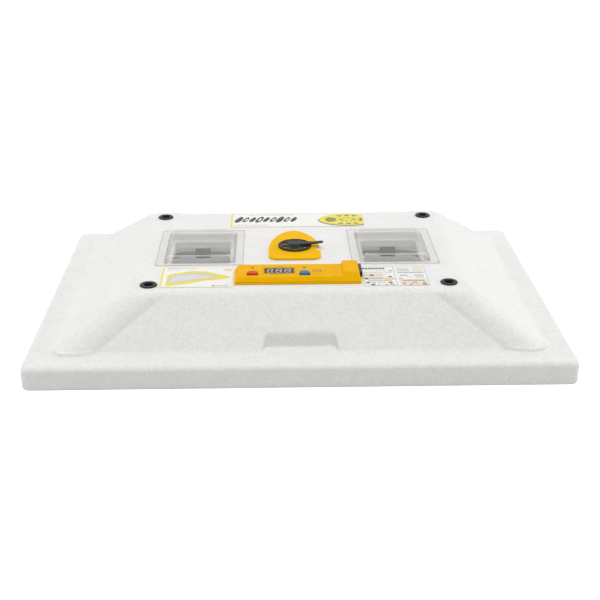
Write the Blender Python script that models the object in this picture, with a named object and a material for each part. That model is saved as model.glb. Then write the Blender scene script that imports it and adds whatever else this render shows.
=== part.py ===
"""Lid of a household foam egg incubator, as an assembly of separate named pieces.

Metres, +Z up. The origin is the middle of the rim's underside, +X runs to the right along
the long side, and -Y is the front, where the control unit sits.

The lid is a moulded foam shell: a flat rim, four sloping sides with a rounded roll down each
corner, and a level roof. The roof carries two clear windows, four vent bushings, the control
unit in its pocket, and the egg-turning lever with its shaft. The heater loop, its brackets,
the crank and the temperature probe hang under the roof, inside the hollow.
"""

import math

import bmesh
import bpy
from mathutils import Matrix, Vector

# ---------------------------------------------------------------- driving dimensions
GAP = 0.0003  # clearance that touching pieces keep

# foam shell
RIM_HALF = (0.380, 0.280)
RIM_HEIGHT = 0.034
RIM_CORNER = 0.022
RIM_EDGE = 0.009
RIM_FOOT_EDGE = 0.003
SLOPE_BASE_HALF = (0.342, 0.239)
SLOPE_BASE_CORNER = 0.034
ROOF_HALF = (0.240, 0.180)
ROOF_TOP = 0.102
ROOF_CORNER = 0.028
ROOF_UNDERSIDE = 0.080
SEAT_HALF = (0.345, 0.245)
SEAT_DEPTH = 0.008
HOLLOW_BASE_HALF = (0.325, 0.225)
HOLLOW_ROOF_HALF = (0.222, 0.162)
HOLLOW_CORNER = 0.030
ROLL_RADIUS = 0.030
ROLL_INSET = 0.019  # from the hip into the long side's slope
ROLL_SINK = 0.024  # below the long side's slope
ROLL_FOOT_TOP = 0.0395
GRIP_DEPTH_Y = 0.2195
GRIP_BACK_HALF = 0.050
GRIP_MOUTH_HALF = 0.0625

# windows
WINDOW_X = 0.147
WINDOW_Y = 0.0033
WELL_POCKET_HALF = (0.053, 0.068)
WELL_HOLE_HALF = (0.044, 0.058)
WELL_LEDGE = 0.091
FLANGE_HALF = (0.0655, 0.0798)
FLANGE_THICKNESS = 0.002
DOME_BASE_HALF = (0.0516, 0.0680)
DOME_INSET = 0.007
DOME_HEIGHT = 0.0075
CLEAR_WALL = 0.002

# vents
VENT_PLACE = (0.2144, 0.153)
VENT_BORE = 0.00675
VENT_TUBE = 0.0094
VENT_FLANGE = 0.0125
VENT_BOTTOM = 0.060

# control unit
BASE_LOW = (-0.0930, -0.1550)
BASE_HIGH = (0.0900, -0.0930)
TUB_LOW = (-0.0855, -0.1475)
TUB_HIGH = (0.0825, -0.1005)
TUB_WALL = 0.002
TUB_BOTTOM = 0.0884
BASE_THICKNESS = 0.0025
COVER_TOP = 0.1110
BLOCK_TOP = 0.1165
COVER_WALL = 0.002
BLOCK_LEFT = 0.0625
SPOUT_Y = -0.124
SPOUT_OUTER = 0.0075
SPOUT_INNER = 0.0055
COVER_FRONT = -0.1535
COVER_BACK = -0.0945
COVER_LEFT = -0.0920
COVER_RIGHT = 0.0885
BOARD_LOW = (-0.0800, -0.1445)
BOARD_HIGH = (0.0580, -0.1035)
BOARD_BOTTOM = 0.0990
BOARD_THICKNESS = 0.0016
BOARD_HOLE = 0.0040  # for the wires that come up the spout
TRANSFORMER_LOW = (0.0672, -0.1390)
TRANSFORMER_HIGH = (0.0798, -0.1080)
TRANSFORMER_TOP = 0.1120
DISPLAY_CENTRE = (-0.0282, -0.1217)
DISPLAY_HALF = (0.0210, 0.0105)
RED_CENTRE_X = -0.0668
BLUE_CENTRE_X = 0.0085
BUTTON_TOP = 0.1136
BUTTON_TRAVEL = 0.0012
BUTTON_LIP = 0.0012
LED_Y = -0.1095
LED_RADIUS = 0.0016
INLET_LOW = (0.0815, -0.1370, 0.1060)
INLET_HIGH = (0.0912, -0.1030, 0.1136)
INLET_SOCKET_HALF = (0.0110, 0.0026)
INLET_SOCKET_FLOOR = 0.0842
INLET_PIN_RADIUS = 0.0011
INLET_PIN_LENGTH = 0.0062
INLET_PIN_APART = 0.0150
CLAMP_PLATE_LOW = (-0.060, -0.146)
CLAMP_PLATE_HIGH = (0.060, -0.102)
CLAMP_PLATE_THICKNESS = 0.003
SCREW_RADIUS = 0.0015
SCREW_HEAD_RADIUS = 0.0036
CLAMP_SCREWS = ((-0.050, -0.112), (-0.050, -0.136), (0.050, -0.112), (0.050, -0.136))

# turning lever
TURNER = (-0.0030, -0.0025)
PLATE_THICKNESS = 0.003
DISC_RADIUS = 0.0257
DISC_THICKNESS = 0.003
SHAFT_RADIUS = 0.0050
CRANK_LENGTH = 0.040
CRANK_LOW = 0.0700
CRANK_HIGH = 0.0745
CRANK_HUB_RADIUS = 0.0100
CRANK_END_RADIUS = 0.0065
CRANK_PIN_RADIUS = 0.0035
CRANK_PIN_LOW = 0.0575
SHAFT_BOTTOM = 0.0600
NUT_RADIUS = 0.0080
NUT_LOW = 0.0632
BUSH_FLANGE = 0.0160
BUSH_TUBE = 0.0080
BUSH_FLANGE_THICKNESS = 0.0025

# heater
HEATER_HALF = (0.205, 0.084)
HEATER_BEND = 0.030
HEATER_RADIUS = 0.004
HEATER_Z = 0.062
HEATER_ENDS_X = 0.020
HEATER_END_Y = -0.106
BRACKET_X = 0.150
BRACKET_HALF_LENGTH = 0.012
TERMINAL_RADIUS = 0.0058
TERMINAL_LENGTH = 0.0140
LEAD_RADIUS = 0.0011

# temperature probe
PROBE_X = 0.035
PROBE_Z = 0.070
PROBE_RADIUS = 0.003
PROBE_ENDS_Y = (-0.0650, -0.0350)
PROBE_CLIP_Y = (-0.0560, -0.0460)
PROBE_CLIP_HALF = 0.006
PROBE_CLIP_LOW = 0.0655

# printed labels, as (lowest corner, highest corner)
LABEL_THICKNESS = 0.0003
LABELS = {
    "back_label": ((-0.107, 0.100), (0.114, 0.1685)),
    "chart_label": ((-0.200, -0.163), (-0.0940, -0.082)),
    "table_label": ((0.0920, -0.164), (0.187, -0.086)),
}

COLORS = {
    "foam": ((0.80, 0.80, 0.77), 0.75, 0.0, 1.0),
    "clear": ((0.90, 0.92, 0.93), 0.05, 0.0, 0.30),
    "black": ((0.015, 0.015, 0.016), 0.40, 0.0, 1.0),
    "yellow": ((0.86, 0.48, 0.01), 0.35, 0.0, 1.0),
    "smoke": ((0.05, 0.035, 0.02), 0.10, 0.0, 1.0),
    "display": ((0.06, 0.06, 0.06), 0.30, 0.0, 1.0),
    "board": ((0.02, 0.16, 0.06), 0.45, 0.0, 1.0),
    "red": ((0.62, 0.04, 0.015), 0.35, 0.0, 1.0),
    "blue": ((0.01, 0.16, 0.42), 0.35, 0.0, 1.0),
    "amber": ((0.35, 0.10, 0.02), 0.20, 0.0, 1.0),
    "steel": ((0.55, 0.55, 0.56), 0.35, 1.0, 1.0),
    "heater": ((0.32, 0.31, 0.30), 0.45, 1.0, 1.0),
    "ceramic": ((0.75, 0.72, 0.66), 0.50, 0.0, 1.0),
    "cable": ((0.60, 0.60, 0.58), 0.50, 0.0, 1.0),
    "label": ((0.82, 0.81, 0.76), 0.45, 0.0, 1.0),
}
MATERIALS = {}


# ---------------------------------------------------------------- helpers
def clear_scene():
    for obj in list(bpy.data.objects):
        bpy.data.objects.remove(obj, do_unlink=True)


def make_materials():
    for name, (color, roughness, metallic, alpha) in COLORS.items():
        made = bpy.data.materials.new(name)
        made.use_nodes = True
        shader = made.node_tree.nodes["Principled BSDF"]
        shader.inputs["Base Color"].default_value = (*color, 1.0)
        shader.inputs["Roughness"].default_value = roughness
        shader.inputs["Metallic"].default_value = metallic
        shader.inputs["Alpha"].default_value = alpha
        MATERIALS[name] = made


def place(name, shape, material=None, origin=(0.0, 0.0, 0.0)):
    """Turns a bmesh in world coordinates into an object whose own origin is at `origin`."""
    bmesh.ops.recalc_face_normals(shape, faces=shape.faces)
    bmesh.ops.translate(shape, vec=-Vector(origin), verts=shape.verts)
    mesh = bpy.data.meshes.new(name)
    shape.to_mesh(mesh)
    shape.free()
    obj = bpy.data.objects.new(name, mesh)
    obj.location = origin
    bpy.context.scene.collection.objects.link(obj)
    if material:
        mesh.materials.append(MATERIALS[material])
        mesh.shade_smooth()
        mesh.set_sharp_from_angle(angle=math.radians(35))
    return obj


def combine(obj, shape, operation):
    """Adds an exact Boolean with a hidden helper made from `shape`."""
    helper = place(f"{operation.lower()}_{obj.name}_{len(obj.modifiers)}", shape)
    helper.hide_render = True
    helper.display_type = "WIRE"
    boolean = obj.modifiers.new(helper.name, "BOOLEAN")
    boolean.operation = operation
    boolean.object = helper


def cut(obj, *shapes):
    for shape in shapes:
        combine(obj, shape, "DIFFERENCE")


def join(obj, *shapes):
    for shape in shapes:
        combine(obj, shape, "UNION")


def rounded(half, radius, centre=(0.0, 0.0), steps=6):
    """Points of a rectangle with round corners, counter-clockwise."""
    points = []
    for quadrant, (sx, sy) in enumerate(((1, 1), (-1, 1), (-1, -1), (1, -1))):
        for step in range(steps + 1):
            angle = math.radians(90 * (quadrant + step / steps))
            points.append(
                (
                    centre[0] + sx * (half[0] - radius) + radius * math.cos(angle),
                    centre[1] + sy * (half[1] - radius) + radius * math.sin(angle),
                )
            )
    return points


def rounded_between(low, high, radius, steps=3):
    half = ((high[0] - low[0]) / 2, (high[1] - low[1]) / 2)
    centre = ((high[0] + low[0]) / 2, (high[1] + low[1]) / 2)
    return rounded(half, radius, centre, steps)


def grown(low, high, by):
    return (low[0] - by, low[1] - by), (high[0] + by, high[1] + by)


def circle(radius, centre=(0.0, 0.0), steps=24):
    turns = (2 * math.pi * step / steps for step in range(steps))
    return [(centre[0] + radius * math.cos(t), centre[1] + radius * math.sin(t)) for t in turns]


def loft(*levels, ring=False):
    """A solid through outlines with equal point counts, each given as (outline, z).

    With ring set, the last outline joins the first, which makes a closed ring such as a tube.
    """
    shape = bmesh.new()
    rings = [[shape.verts.new((x, y, z)) for x, y in outline] for outline, z in levels]
    pairs = list(zip(rings, rings[1:]))
    if ring:
        pairs.append((rings[-1], rings[0]))
    else:
        shape.faces.new(rings[0])
        shape.faces.new(rings[-1])
    for low, high in pairs:
        for i in range(len(low)):
            j = (i + 1) % len(low)
            shape.faces.new((low[i], low[j], high[j], high[i]))
    return shape


def prism(outline, low, high):
    return loft((outline, low), (outline, high))


def cylinder(radius, low, high, centre=(0.0, 0.0), steps=24):
    return prism(circle(radius, centre, steps), low, high)


def turned(profile, centre=(0.0, 0.0), steps=24, ring=False):
    """A solid, or a ring, turned about a vertical axis from (radius, z) points."""
    return loft(*((circle(r, centre, steps), z) for r, z in profile), ring=ring)


def box(low, high):
    return prism(
        [(low[0], low[1]), (high[0], low[1]), (high[0], high[1]), (low[0], high[1])], low[2], high[2]
    )


def aimed(shape, direction, at):
    """Turns a shape made along +Z so that it points along `direction`, and moves it to `at`."""
    turn = Vector(direction).to_track_quat("Z", "Y").to_matrix().to_4x4()
    bmesh.ops.transform(shape, matrix=Matrix.Translation(at) @ turn, verts=shape.verts)
    return shape


def smooth_route(points, spacing):
    """Points read at equal spacing from a Catmull-Rom curve through the given points."""
    path = [Vector(p) for p in points]
    path = [2 * path[0] - path[1], *path, 2 * path[-1] - path[-2]]
    fine = []
    for p0, p1, p2, p3 in zip(path, path[1:], path[2:], path[3:]):
        for step in range(20):
            t = step / 20
            fine.append(
                0.5
                * (
                    2 * p1
                    + (p2 - p0) * t
                    + (2 * p0 - 5 * p1 + 4 * p2 - p3) * t**2
                    + (3 * p1 - p0 - 3 * p2 + p3) * t**3
                )
            )
    fine.append(path[-2])
    length = sum((b - a).length for a, b in zip(fine, fine[1:]))
    count = max(2, round(length / spacing))
    wanted = [length * i / count for i in range(count + 1)]
    route, walked = [fine[0]], 0.0
    for a, b in zip(fine, fine[1:]):
        step = (b - a).length
        while len(route) < count and walked + step >= wanted[len(route)]:
            route.append(a.lerp(b, (wanted[len(route)] - walked) / step))
        walked += step
    route.append(fine[-1])
    return route


def tube(name, route, radius, material, sides=2):
    """A round bar or cable along a route, as a bevelled curve with closed ends."""
    curve = bpy.data.curves.new(name, "CURVE")
    curve.dimensions = "3D"
    curve.bevel_depth = radius
    curve.bevel_resolution = sides
    curve.use_fill_caps = True
    spline = curve.splines.new("POLY")
    spline.points.add(len(route) - 1)
    for point, place_at in zip(spline.points, route):
        point.co = (*place_at, 1.0)
    curve.materials.append(MATERIALS[material])
    obj = bpy.data.objects.new(name, curve)
    bpy.context.scene.collection.objects.link(obj)
    return obj


# ---------------------------------------------------------------- foam shell
def slope_half(z):
    """Half sizes of the four slopes' outline at height z."""
    share = (ROOF_TOP - z) / (ROOF_TOP - RIM_HEIGHT)
    return tuple(top + share * (base - top) for top, base in zip(ROOF_HALF, SLOPE_BASE_HALF))


def shrunk(half, by):
    return half[0] - by, half[1] - by


def shell_outside():
    levels = [
        (rounded(shrunk(RIM_HALF, RIM_FOOT_EDGE), RIM_CORNER - RIM_FOOT_EDGE), 0.0),
        (rounded(RIM_HALF, RIM_CORNER), RIM_FOOT_EDGE),
    ]
    for degrees in (0, 30, 60, 90):
        angle = math.radians(degrees)
        inset = RIM_EDGE * (1 - math.cos(angle))
        rise = RIM_EDGE * math.sin(angle)
        outline = rounded(shrunk(RIM_HALF, inset), RIM_CORNER - inset)
        levels.append((outline, RIM_HEIGHT - RIM_EDGE + rise))
    levels.append((rounded(SLOPE_BASE_HALF, SLOPE_BASE_CORNER), RIM_HEIGHT))
    for drop, inset in ((0.0045, 0.0), (0.0012, 0.0008), (0.0, 0.0045)):
        half = shrunk(slope_half(ROOF_TOP - drop), inset)
        levels.append((rounded(half, ROOF_CORNER), ROOF_TOP - drop))
    return loft(*levels)


def roll_axis(sx, sy):
    """A point on the roll's axis level with the roof's edge region, and its downhill direction."""
    top = Vector((sx * ROOF_HALF[0], sy * ROOF_HALF[1], ROOF_TOP))
    base = Vector((sx * SLOPE_BASE_HALF[0], sy * SLOPE_BASE_HALF[1], RIM_HEIGHT))
    downhill = (base - top).normalized()
    along = Vector((-sx, 0.0, 0.0))
    normal = along.cross(downhill).normalized()
    if normal.z < 0:
        normal = -normal
    inward = normal.cross(downhill).normalized()
    if inward.x * sx > 0:
        inward = -inward
    return top + ROLL_INSET * inward - ROLL_SINK * normal, downhill


def corner_roll(sx, sy):
    """The rounded bulge down one corner, cut level just under the roof and inside the rim."""
    point, downhill = roll_axis(sx, sy)
    shape = aimed(cylinder(ROLL_RADIUS, -0.16, 0.16, steps=28), downhill, point)
    for z, side in ((ROOF_TOP - 0.0002, 1), (RIM_HEIGHT - 0.006, -1)):
        everything = shape.verts[:] + shape.edges[:] + shape.faces[:]
        opened = bmesh.ops.bisect_plane(
            shape, geom=everything, plane_co=(0, 0, z), plane_no=(0, 0, side), clear_outer=True
        )
        edges = [item for item in opened["geom_cut"] if isinstance(item, bmesh.types.BMEdge)]
        bmesh.ops.contextual_create(shape, geom=edges)
    return shape


def roll_foot(sx, sy):
    """The flat oval foot that ends the roll on the rim."""
    point, downhill = roll_axis(sx, sy)
    centre = point + downhill * ((RIM_HEIGHT - point.z) / downhill.z)
    level = Vector((downhill.x, downhill.y)).normalized()
    across = Vector((-level.y, level.x))
    stretch = ROLL_RADIUS / abs(downhill.z)

    def oval(inset):
        return [
            tuple(centre.xy + level * (x * (stretch - inset)) + across * (y * (ROLL_RADIUS - inset)))
            for x, y in circle(1.0, steps=32)
        ]

    return loft(
        (oval(0.0), RIM_HEIGHT - 0.004), (oval(0.0), ROLL_FOOT_TOP - 0.0015), (oval(0.0015), ROLL_FOOT_TOP)
    )


def grip_recess(sy):
    """Cutter for the finger recess in the middle of one long side, open towards the rim."""
    front = GRIP_DEPTH_Y + 0.045
    corner = 0.006
    mouth = GRIP_MOUTH_HALF + 0.012
    outline = [
        (mouth, sy * front),
        (-mouth, sy * front),
        (-GRIP_BACK_HALF - 0.001, sy * (GRIP_DEPTH_Y + corner)),
        (-GRIP_BACK_HALF + 0.3 * corner, sy * (GRIP_DEPTH_Y + 0.25 * corner)),
        (-GRIP_BACK_HALF + corner, sy * GRIP_DEPTH_Y),
        (GRIP_BACK_HALF - corner, sy * GRIP_DEPTH_Y),
        (GRIP_BACK_HALF - 0.3 * corner, sy * (GRIP_DEPTH_Y + 0.25 * corner)),
        (GRIP_BACK_HALF + 0.001, sy * (GRIP_DEPTH_Y + corner)),
    ]
    return prism(outline, RIM_HEIGHT + 0.0005, ROOF_TOP)


def hollow():
    """Cutter for the space under the lid, with the seat that drops over the lower box's edge."""
    return loft(
        (rounded(SEAT_HALF, 0.020), -0.010),
        (rounded(SEAT_HALF, 0.020), SEAT_DEPTH),
        (rounded(HOLLOW_BASE_HALF, HOLLOW_CORNER), SEAT_DEPTH),
        (rounded(HOLLOW_ROOF_HALF, HOLLOW_CORNER), ROOF_UNDERSIDE),
    )


def window_well(side):
    centre = (side * WINDOW_X, WINDOW_Y)
    hole = rounded(WELL_HOLE_HALF, 0.006, centre, 3)
    pocket = rounded(WELL_POCKET_HALF, 0.006, centre, 3)
    return loft((hole, 0.060), (hole, WELL_LEDGE), (pocket, WELL_LEDGE), (pocket, 0.112))


def foam_lid():
    lid = place("foam_lid", shell_outside(), "foam")
    corners = [(sx, sy) for sx in (-1, 1) for sy in (-1, 1)]
    join(lid, *(corner_roll(sx, sy) for sx, sy in corners))
    join(lid, *(roll_foot(sx, sy) for sx, sy in corners))
    cut(lid, hollow())
    cut(lid, *(window_well(side) for side in (-1, 1)))
    cut(lid, *(grip_recess(sy) for sy in (-1, 1)))
    vents = [(sx * VENT_PLACE[0], sy * VENT_PLACE[1]) for sx, sy in corners]
    cut(lid, *(cylinder(VENT_TUBE + 0.0006, 0.050, 0.112, centre) for centre in vents))
    low, high = grown(TUB_LOW, TUB_HIGH, 0.0008)
    cut(lid, prism(rounded_between(low, high, 0.004), TUB_BOTTOM - GAP, 0.112))
    cut(lid, cylinder(SPOUT_OUTER + 0.0006, 0.070, TUB_BOTTOM, (0.0, SPOUT_Y)))
    cut(lid, cylinder(BUSH_TUBE + 0.0005, 0.070, 0.112, TURNER))
    hole = SCREW_RADIUS + 0.0004
    cut(lid, *(cylinder(hole, 0.070, TUB_BOTTOM, spot, 12) for spot in CLAMP_SCREWS))


# ---------------------------------------------------------------- windows and vents
def windows():
    seat = ROOF_TOP + GAP
    flange_top = seat + FLANGE_THICKNESS
    dome_top = flange_top + DOME_HEIGHT
    edge = 0.0006
    for name, side in (("left", -1), ("right", 1)):
        centre = (side * WINDOW_X, WINDOW_Y)

        def outline(half, radius):
            return rounded(half, radius, centre, 3)

        crown = shrunk(DOME_BASE_HALF, DOME_INSET)
        shape = loft(
            (outline(crown, 0.003), dome_top),
            (outline(DOME_BASE_HALF, 0.005), flange_top),
            (outline(shrunk(FLANGE_HALF, edge), 0.004), flange_top),
            (outline(FLANGE_HALF, 0.004), flange_top - edge),
            (outline(FLANGE_HALF, 0.004), seat),
            (outline(shrunk(DOME_BASE_HALF, CLEAR_WALL), 0.004), seat),
            (outline(shrunk(crown, CLEAR_WALL - edge), 0.002), dome_top - CLEAR_WALL),
        )
        place(f"window_cover_{name}", shape, "clear")
        pane = outline(shrunk(WELL_POCKET_HALF, 2 * GAP), 0.0055)
        low = WELL_LEDGE + GAP
        place(f"inner_pane_{name}", prism(pane, low, low + CLEAR_WALL), "clear")


def vent_bushings():
    seat = ROOF_TOP + GAP
    profile = (
        (VENT_BORE, VENT_BOTTOM),
        (VENT_TUBE, VENT_BOTTOM),
        (VENT_TUBE, seat),
        (VENT_FLANGE, seat),
        (VENT_FLANGE, seat + 0.0012),
        (VENT_FLANGE - 0.0010, seat + 0.0021),
        (VENT_BORE + 0.0014, seat + 0.0021),
        (VENT_BORE, seat + 0.0008),
    )
    for along, sy in (("front", -1), ("back", 1)):
        for across, sx in (("left", -1), ("right", 1)):
            centre = (sx * VENT_PLACE[0], sy * VENT_PLACE[1])
            place(f"vent_bushing_{along}_{across}", turned(profile, centre, ring=True), "black")


# ---------------------------------------------------------------- control unit
def control_base():
    """Tray with a flange on the roof, a tub in the foam's pocket, and a wire spout."""
    flange_low = ROOF_TOP + GAP
    flange_top = flange_low + BASE_THICKNESS
    tub = rounded_between(TUB_LOW, TUB_HIGH, 0.004)
    inside = rounded_between(*grown(TUB_LOW, TUB_HIGH, -TUB_WALL), 0.002)
    rim = rounded_between(BASE_LOW, BASE_HIGH, 0.004)
    rim_top = rounded_between(*grown(BASE_LOW, BASE_HIGH, -0.0008), 0.0032)
    floor = TUB_BOTTOM + TUB_WALL
    base = place(
        "control_base",
        loft(
            (tub, TUB_BOTTOM),
            (tub, flange_low),
            (rim, flange_low),
            (rim, flange_top - 0.0008),
            (rim_top, flange_top),
            (inside, flange_top),
            (inside, floor),
        ),
        "yellow",
    )
    join(base, cylinder(SPOUT_OUTER, 0.0757, TUB_BOTTOM + 0.001, (0.0, SPOUT_Y)))
    posts = [(x, y) for x in (-0.074, 0.050) for y in (-0.108, -0.140)]
    join(base, *(cylinder(0.003, floor - 0.0005, BOARD_BOTTOM - GAP, spot, 12) for spot in posts))
    cut(base, cylinder(SPOUT_INNER, 0.070, floor + 0.002, (0.0, SPOUT_Y)))
    cut(base, *(cylinder(SCREW_RADIUS + GAP, 0.080, floor + 0.002, spot, 12) for spot in CLAMP_SCREWS))


def cover_shape(low_x, high_x, top, inset):
    """One raised body of the cover: sloping front and left end, nearly upright back and right."""
    foot = ROOF_TOP + 2 * GAP + BASE_THICKNESS
    bottom = foot if inset == 0 else foot - 0.001
    ceiling = top - inset
    edge = 0.0008
    lean_left = 0.0052 if low_x < 0 else 0.0012
    lean_right, lean_back = 0.0022, 0.0010

    def outline(z, by):
        climbed = z - foot
        share = climbed / (top - foot)
        low = (low_x + lean_left * share, COVER_FRONT + climbed)
        high = (high_x - lean_right * share, COVER_BACK - lean_back * share)
        return rounded_between(*grown(low, high, -by), 0.003)

    return loft(
        (outline(bottom, inset), bottom),
        (outline(ceiling - edge, inset), ceiling - edge),
        (outline(ceiling, inset + edge), ceiling),
    )


def button_outline(centre_x, half_width, front, back, radius, grow=0.0):
    """Plan of a button cap: straight front, back corners rounded."""
    points = [
        (centre_x - half_width - grow, front - grow),
        (centre_x + half_width + grow, front - grow),
    ]
    round_to = radius + grow
    for side, start in ((1, 0), (-1, 90)):
        corner_x = centre_x + side * (half_width - radius)
        for step in range(7):
            angle = math.radians(start + 15 * step)
            points.append(
                (corner_x + round_to * math.cos(angle), back - radius + round_to * math.sin(angle))
            )
    return points


BUTTONS = {
    "red": (RED_CENTRE_X, 0.0077, -0.1396, -0.1276, 0.0045),
    "blue": (BLUE_CENTRE_X, 0.0074, -0.1405, -0.1270, 0.0062),
}


def control_cover():
    cover = place("control_cover", cover_shape(COVER_LEFT, COVER_RIGHT, COVER_TOP, 0.0), "yellow")
    join(cover, cover_shape(BLOCK_LEFT, COVER_RIGHT, BLOCK_TOP, 0.0))
    cut(cover, cover_shape(COVER_LEFT, COVER_RIGHT, COVER_TOP, COVER_WALL))
    cut(cover, cover_shape(BLOCK_LEFT, COVER_RIGHT, BLOCK_TOP, COVER_WALL))
    hole_low, hole_high = COVER_TOP - 0.006, COVER_TOP + 0.004
    opening = rounded((DISPLAY_HALF[0] + GAP, DISPLAY_HALF[1] + GAP), 0.001, DISPLAY_CENTRE, 2)
    cut(cover, prism(opening, hole_low, hole_high))
    for plan in BUTTONS.values():
        cut(cover, prism(button_outline(*plan, grow=0.0004), hole_low, hole_high))
    for x in (RED_CENTRE_X, BLUE_CENTRE_X):
        cut(cover, cylinder(LED_RADIUS + 0.0004, hole_low, hole_high, (x, LED_Y), 16))
    low = (INLET_LOW[0] - 0.0015, INLET_LOW[1] - GAP, INLET_LOW[2] - GAP)
    high = (INLET_HIGH[0] + 0.004, INLET_HIGH[1] + GAP, INLET_HIGH[2] + GAP)
    cut(cover, box(low, high))


def control_buttons():
    """Caps held from below by a lip, with room to travel before they meet the switches."""
    lip = COVER_TOP - COVER_WALL - GAP
    edge = 0.0008
    for colour, plan in BUTTONS.items():

        def outline(grow):
            return button_outline(*plan, grow=grow)

        shape = loft(
            (outline(BUTTON_LIP), lip - 0.0014),
            (outline(BUTTON_LIP), lip),
            (outline(0.0), lip),
            (outline(0.0), BUTTON_TOP - edge),
            (outline(-0.0010), BUTTON_TOP),
        )
        centre_y = (plan[2] + plan[3]) / 2
        place(f"{colour}_button", shape, colour, (plan[0], centre_y, lip))


def control_electronics():
    """Board, display, switches, indicators and transformer inside the tray and cover."""
    board_top = BOARD_BOTTOM + BOARD_THICKNESS
    stand = board_top + GAP
    board = prism(rounded_between(BOARD_LOW, BOARD_HIGH, 0.001, 1), BOARD_BOTTOM, board_top)
    circuit_board = place("circuit_board", board, "board")
    cut(circuit_board, cylinder(BOARD_HOLE, BOARD_BOTTOM - 0.002, board_top + 0.002, (0.0, SPOUT_Y), 16))

    under = COVER_TOP - COVER_WALL - GAP
    pane_low = 0.1070
    module = rounded(shrunk(DISPLAY_HALF, 0.001), 0.001, DISPLAY_CENTRE, 1)
    place("display_module", prism(module, stand, pane_low - GAP), "display")
    wide = rounded(shrunk(DISPLAY_HALF, -0.002), 0.001, DISPLAY_CENTRE, 2)
    narrow = rounded(DISPLAY_HALF, 0.0008, DISPLAY_CENTRE, 2)
    pane = loft((wide, pane_low), (wide, under), (narrow, under), (narrow, COVER_TOP - GAP))
    place("display_window", pane, "smoke")

    # a pressed cap stops just above its switch's plunger
    plunger_top = under - 0.0014 - BUTTON_TRAVEL - GAP
    body_half, body_top, plunger_radius = 0.0030, 0.1042, 0.0016
    for colour, plan in BUTTONS.items():
        spot = (plan[0], (plan[2] + plan[3]) / 2)
        body = prism(rounded((body_half, body_half), 0.0004, spot, 1), stand, body_top)
        switch = place(f"{colour}_switch", body, "black")
        join(switch, cylinder(plunger_radius, body_top - 0.0004, plunger_top, spot, 12))
    for name, x in (("left", RED_CENTRE_X), ("right", BLUE_CENTRE_X)):
        profile = (
            (LED_RADIUS + GAP, stand),
            (LED_RADIUS + GAP, stand + 0.0010),
            (LED_RADIUS, stand + 0.0011),
            (LED_RADIUS, COVER_TOP),
            (0.6 * LED_RADIUS, COVER_TOP + 0.0007),
        )
        place(f"indicator_{name}", turned(profile, (x, LED_Y), 12), "amber")

    edge = 0.001
    side = rounded_between(TRANSFORMER_LOW, TRANSFORMER_HIGH, edge, 1)
    crown = rounded_between(*grown(TRANSFORMER_LOW, TRANSFORMER_HIGH, -edge), edge, 1)
    levels = ((side, TUB_BOTTOM + TUB_WALL + GAP), (side, TRANSFORMER_TOP - edge), (crown, TRANSFORMER_TOP))
    place("power_transformer", loft(*levels), "black")


def mains_inlet():
    """Flat two-pin inlet in the raised block's right end: a recess with two pins inside."""
    inlet = place("mains_inlet", box(INLET_LOW, INLET_HIGH), "black")
    middle_y, middle_z = (INLET_LOW[1] + INLET_HIGH[1]) / 2, (INLET_LOW[2] + INLET_HIGH[2]) / 2
    half_y, half_z = INLET_SOCKET_HALF
    socket_low = (INLET_SOCKET_FLOOR, middle_y - half_y, middle_z - half_z)
    cut(inlet, box(socket_low, (INLET_HIGH[0] + 0.004, middle_y + half_y, middle_z + half_z)))
    for side in (-1, 1):
        pin = cylinder(INLET_PIN_RADIUS, -0.0006, INLET_PIN_LENGTH, steps=10)
        root = (INLET_SOCKET_FLOOR, middle_y + side * INLET_PIN_APART / 2, middle_z)
        join(inlet, aimed(pin, (1, 0, 0), root))


def control_fixing():
    """Plate under the roof, and the four screws that pull the tray down onto the foam."""
    plate_high = ROOF_UNDERSIDE - GAP
    plate_low = plate_high - CLAMP_PLATE_THICKNESS
    outline = rounded_between(CLAMP_PLATE_LOW, CLAMP_PLATE_HIGH, 0.005)
    plate = place("clamp_plate", prism(outline, plate_low, plate_high), "black")
    past_low, past_high = plate_low - 0.004, plate_high + 0.004
    cut(plate, cylinder(SPOUT_OUTER + 0.0005, past_low, past_high, (0.0, SPOUT_Y)))
    hole = SCREW_RADIUS + 0.0004
    cut(plate, *(cylinder(hole, past_low, past_high, spot, 12) for spot in CLAMP_SCREWS))
    head_top = plate_low - GAP
    head_low = head_top - 0.0026
    slot_half, slot_depth = 0.0005, 0.0008
    for number, (x, y) in enumerate(CLAMP_SCREWS, 1):
        profile = (
            (SCREW_HEAD_RADIUS - 0.0010, head_low),
            (SCREW_HEAD_RADIUS, head_top - 0.0014),
            (SCREW_HEAD_RADIUS, head_top),
            (SCREW_RADIUS, head_top),
            (SCREW_RADIUS, TUB_BOTTOM + 0.8 * TUB_WALL),
        )
        screw = place(f"clamp_screw_{number}", turned(profile, (x, y), 12), "steel")
        slot_low = (x - slot_half, y - 0.005, head_low - 0.001)
        cut(screw, box(slot_low, (x + slot_half, y + 0.005, head_low + slot_depth)))


# ---------------------------------------------------------------- egg-turning lever
def egg_outline():
    """Flat front edge with round corners, widest near the front, narrowing to a round back."""
    half_width, widest, back, front, corner = 0.0397, -0.015, 0.073, -0.056, 0.014
    right = []
    for step in range(5):
        angle = math.radians(-90 + 22.5 * step)
        right.append(
            (half_width - corner + corner * math.cos(angle), front + corner + corner * math.sin(angle))
        )
    for step in range(1, 13):
        t = math.sin(math.radians(90 * step / 12))
        right.append((half_width * (1 - t * t) ** 0.6, widest + t * (back - widest)))
    left = [(-x, y) for x, y in reversed(right[:-1])]
    return [(x - 0.0037, y) for x, y in right + left]


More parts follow.
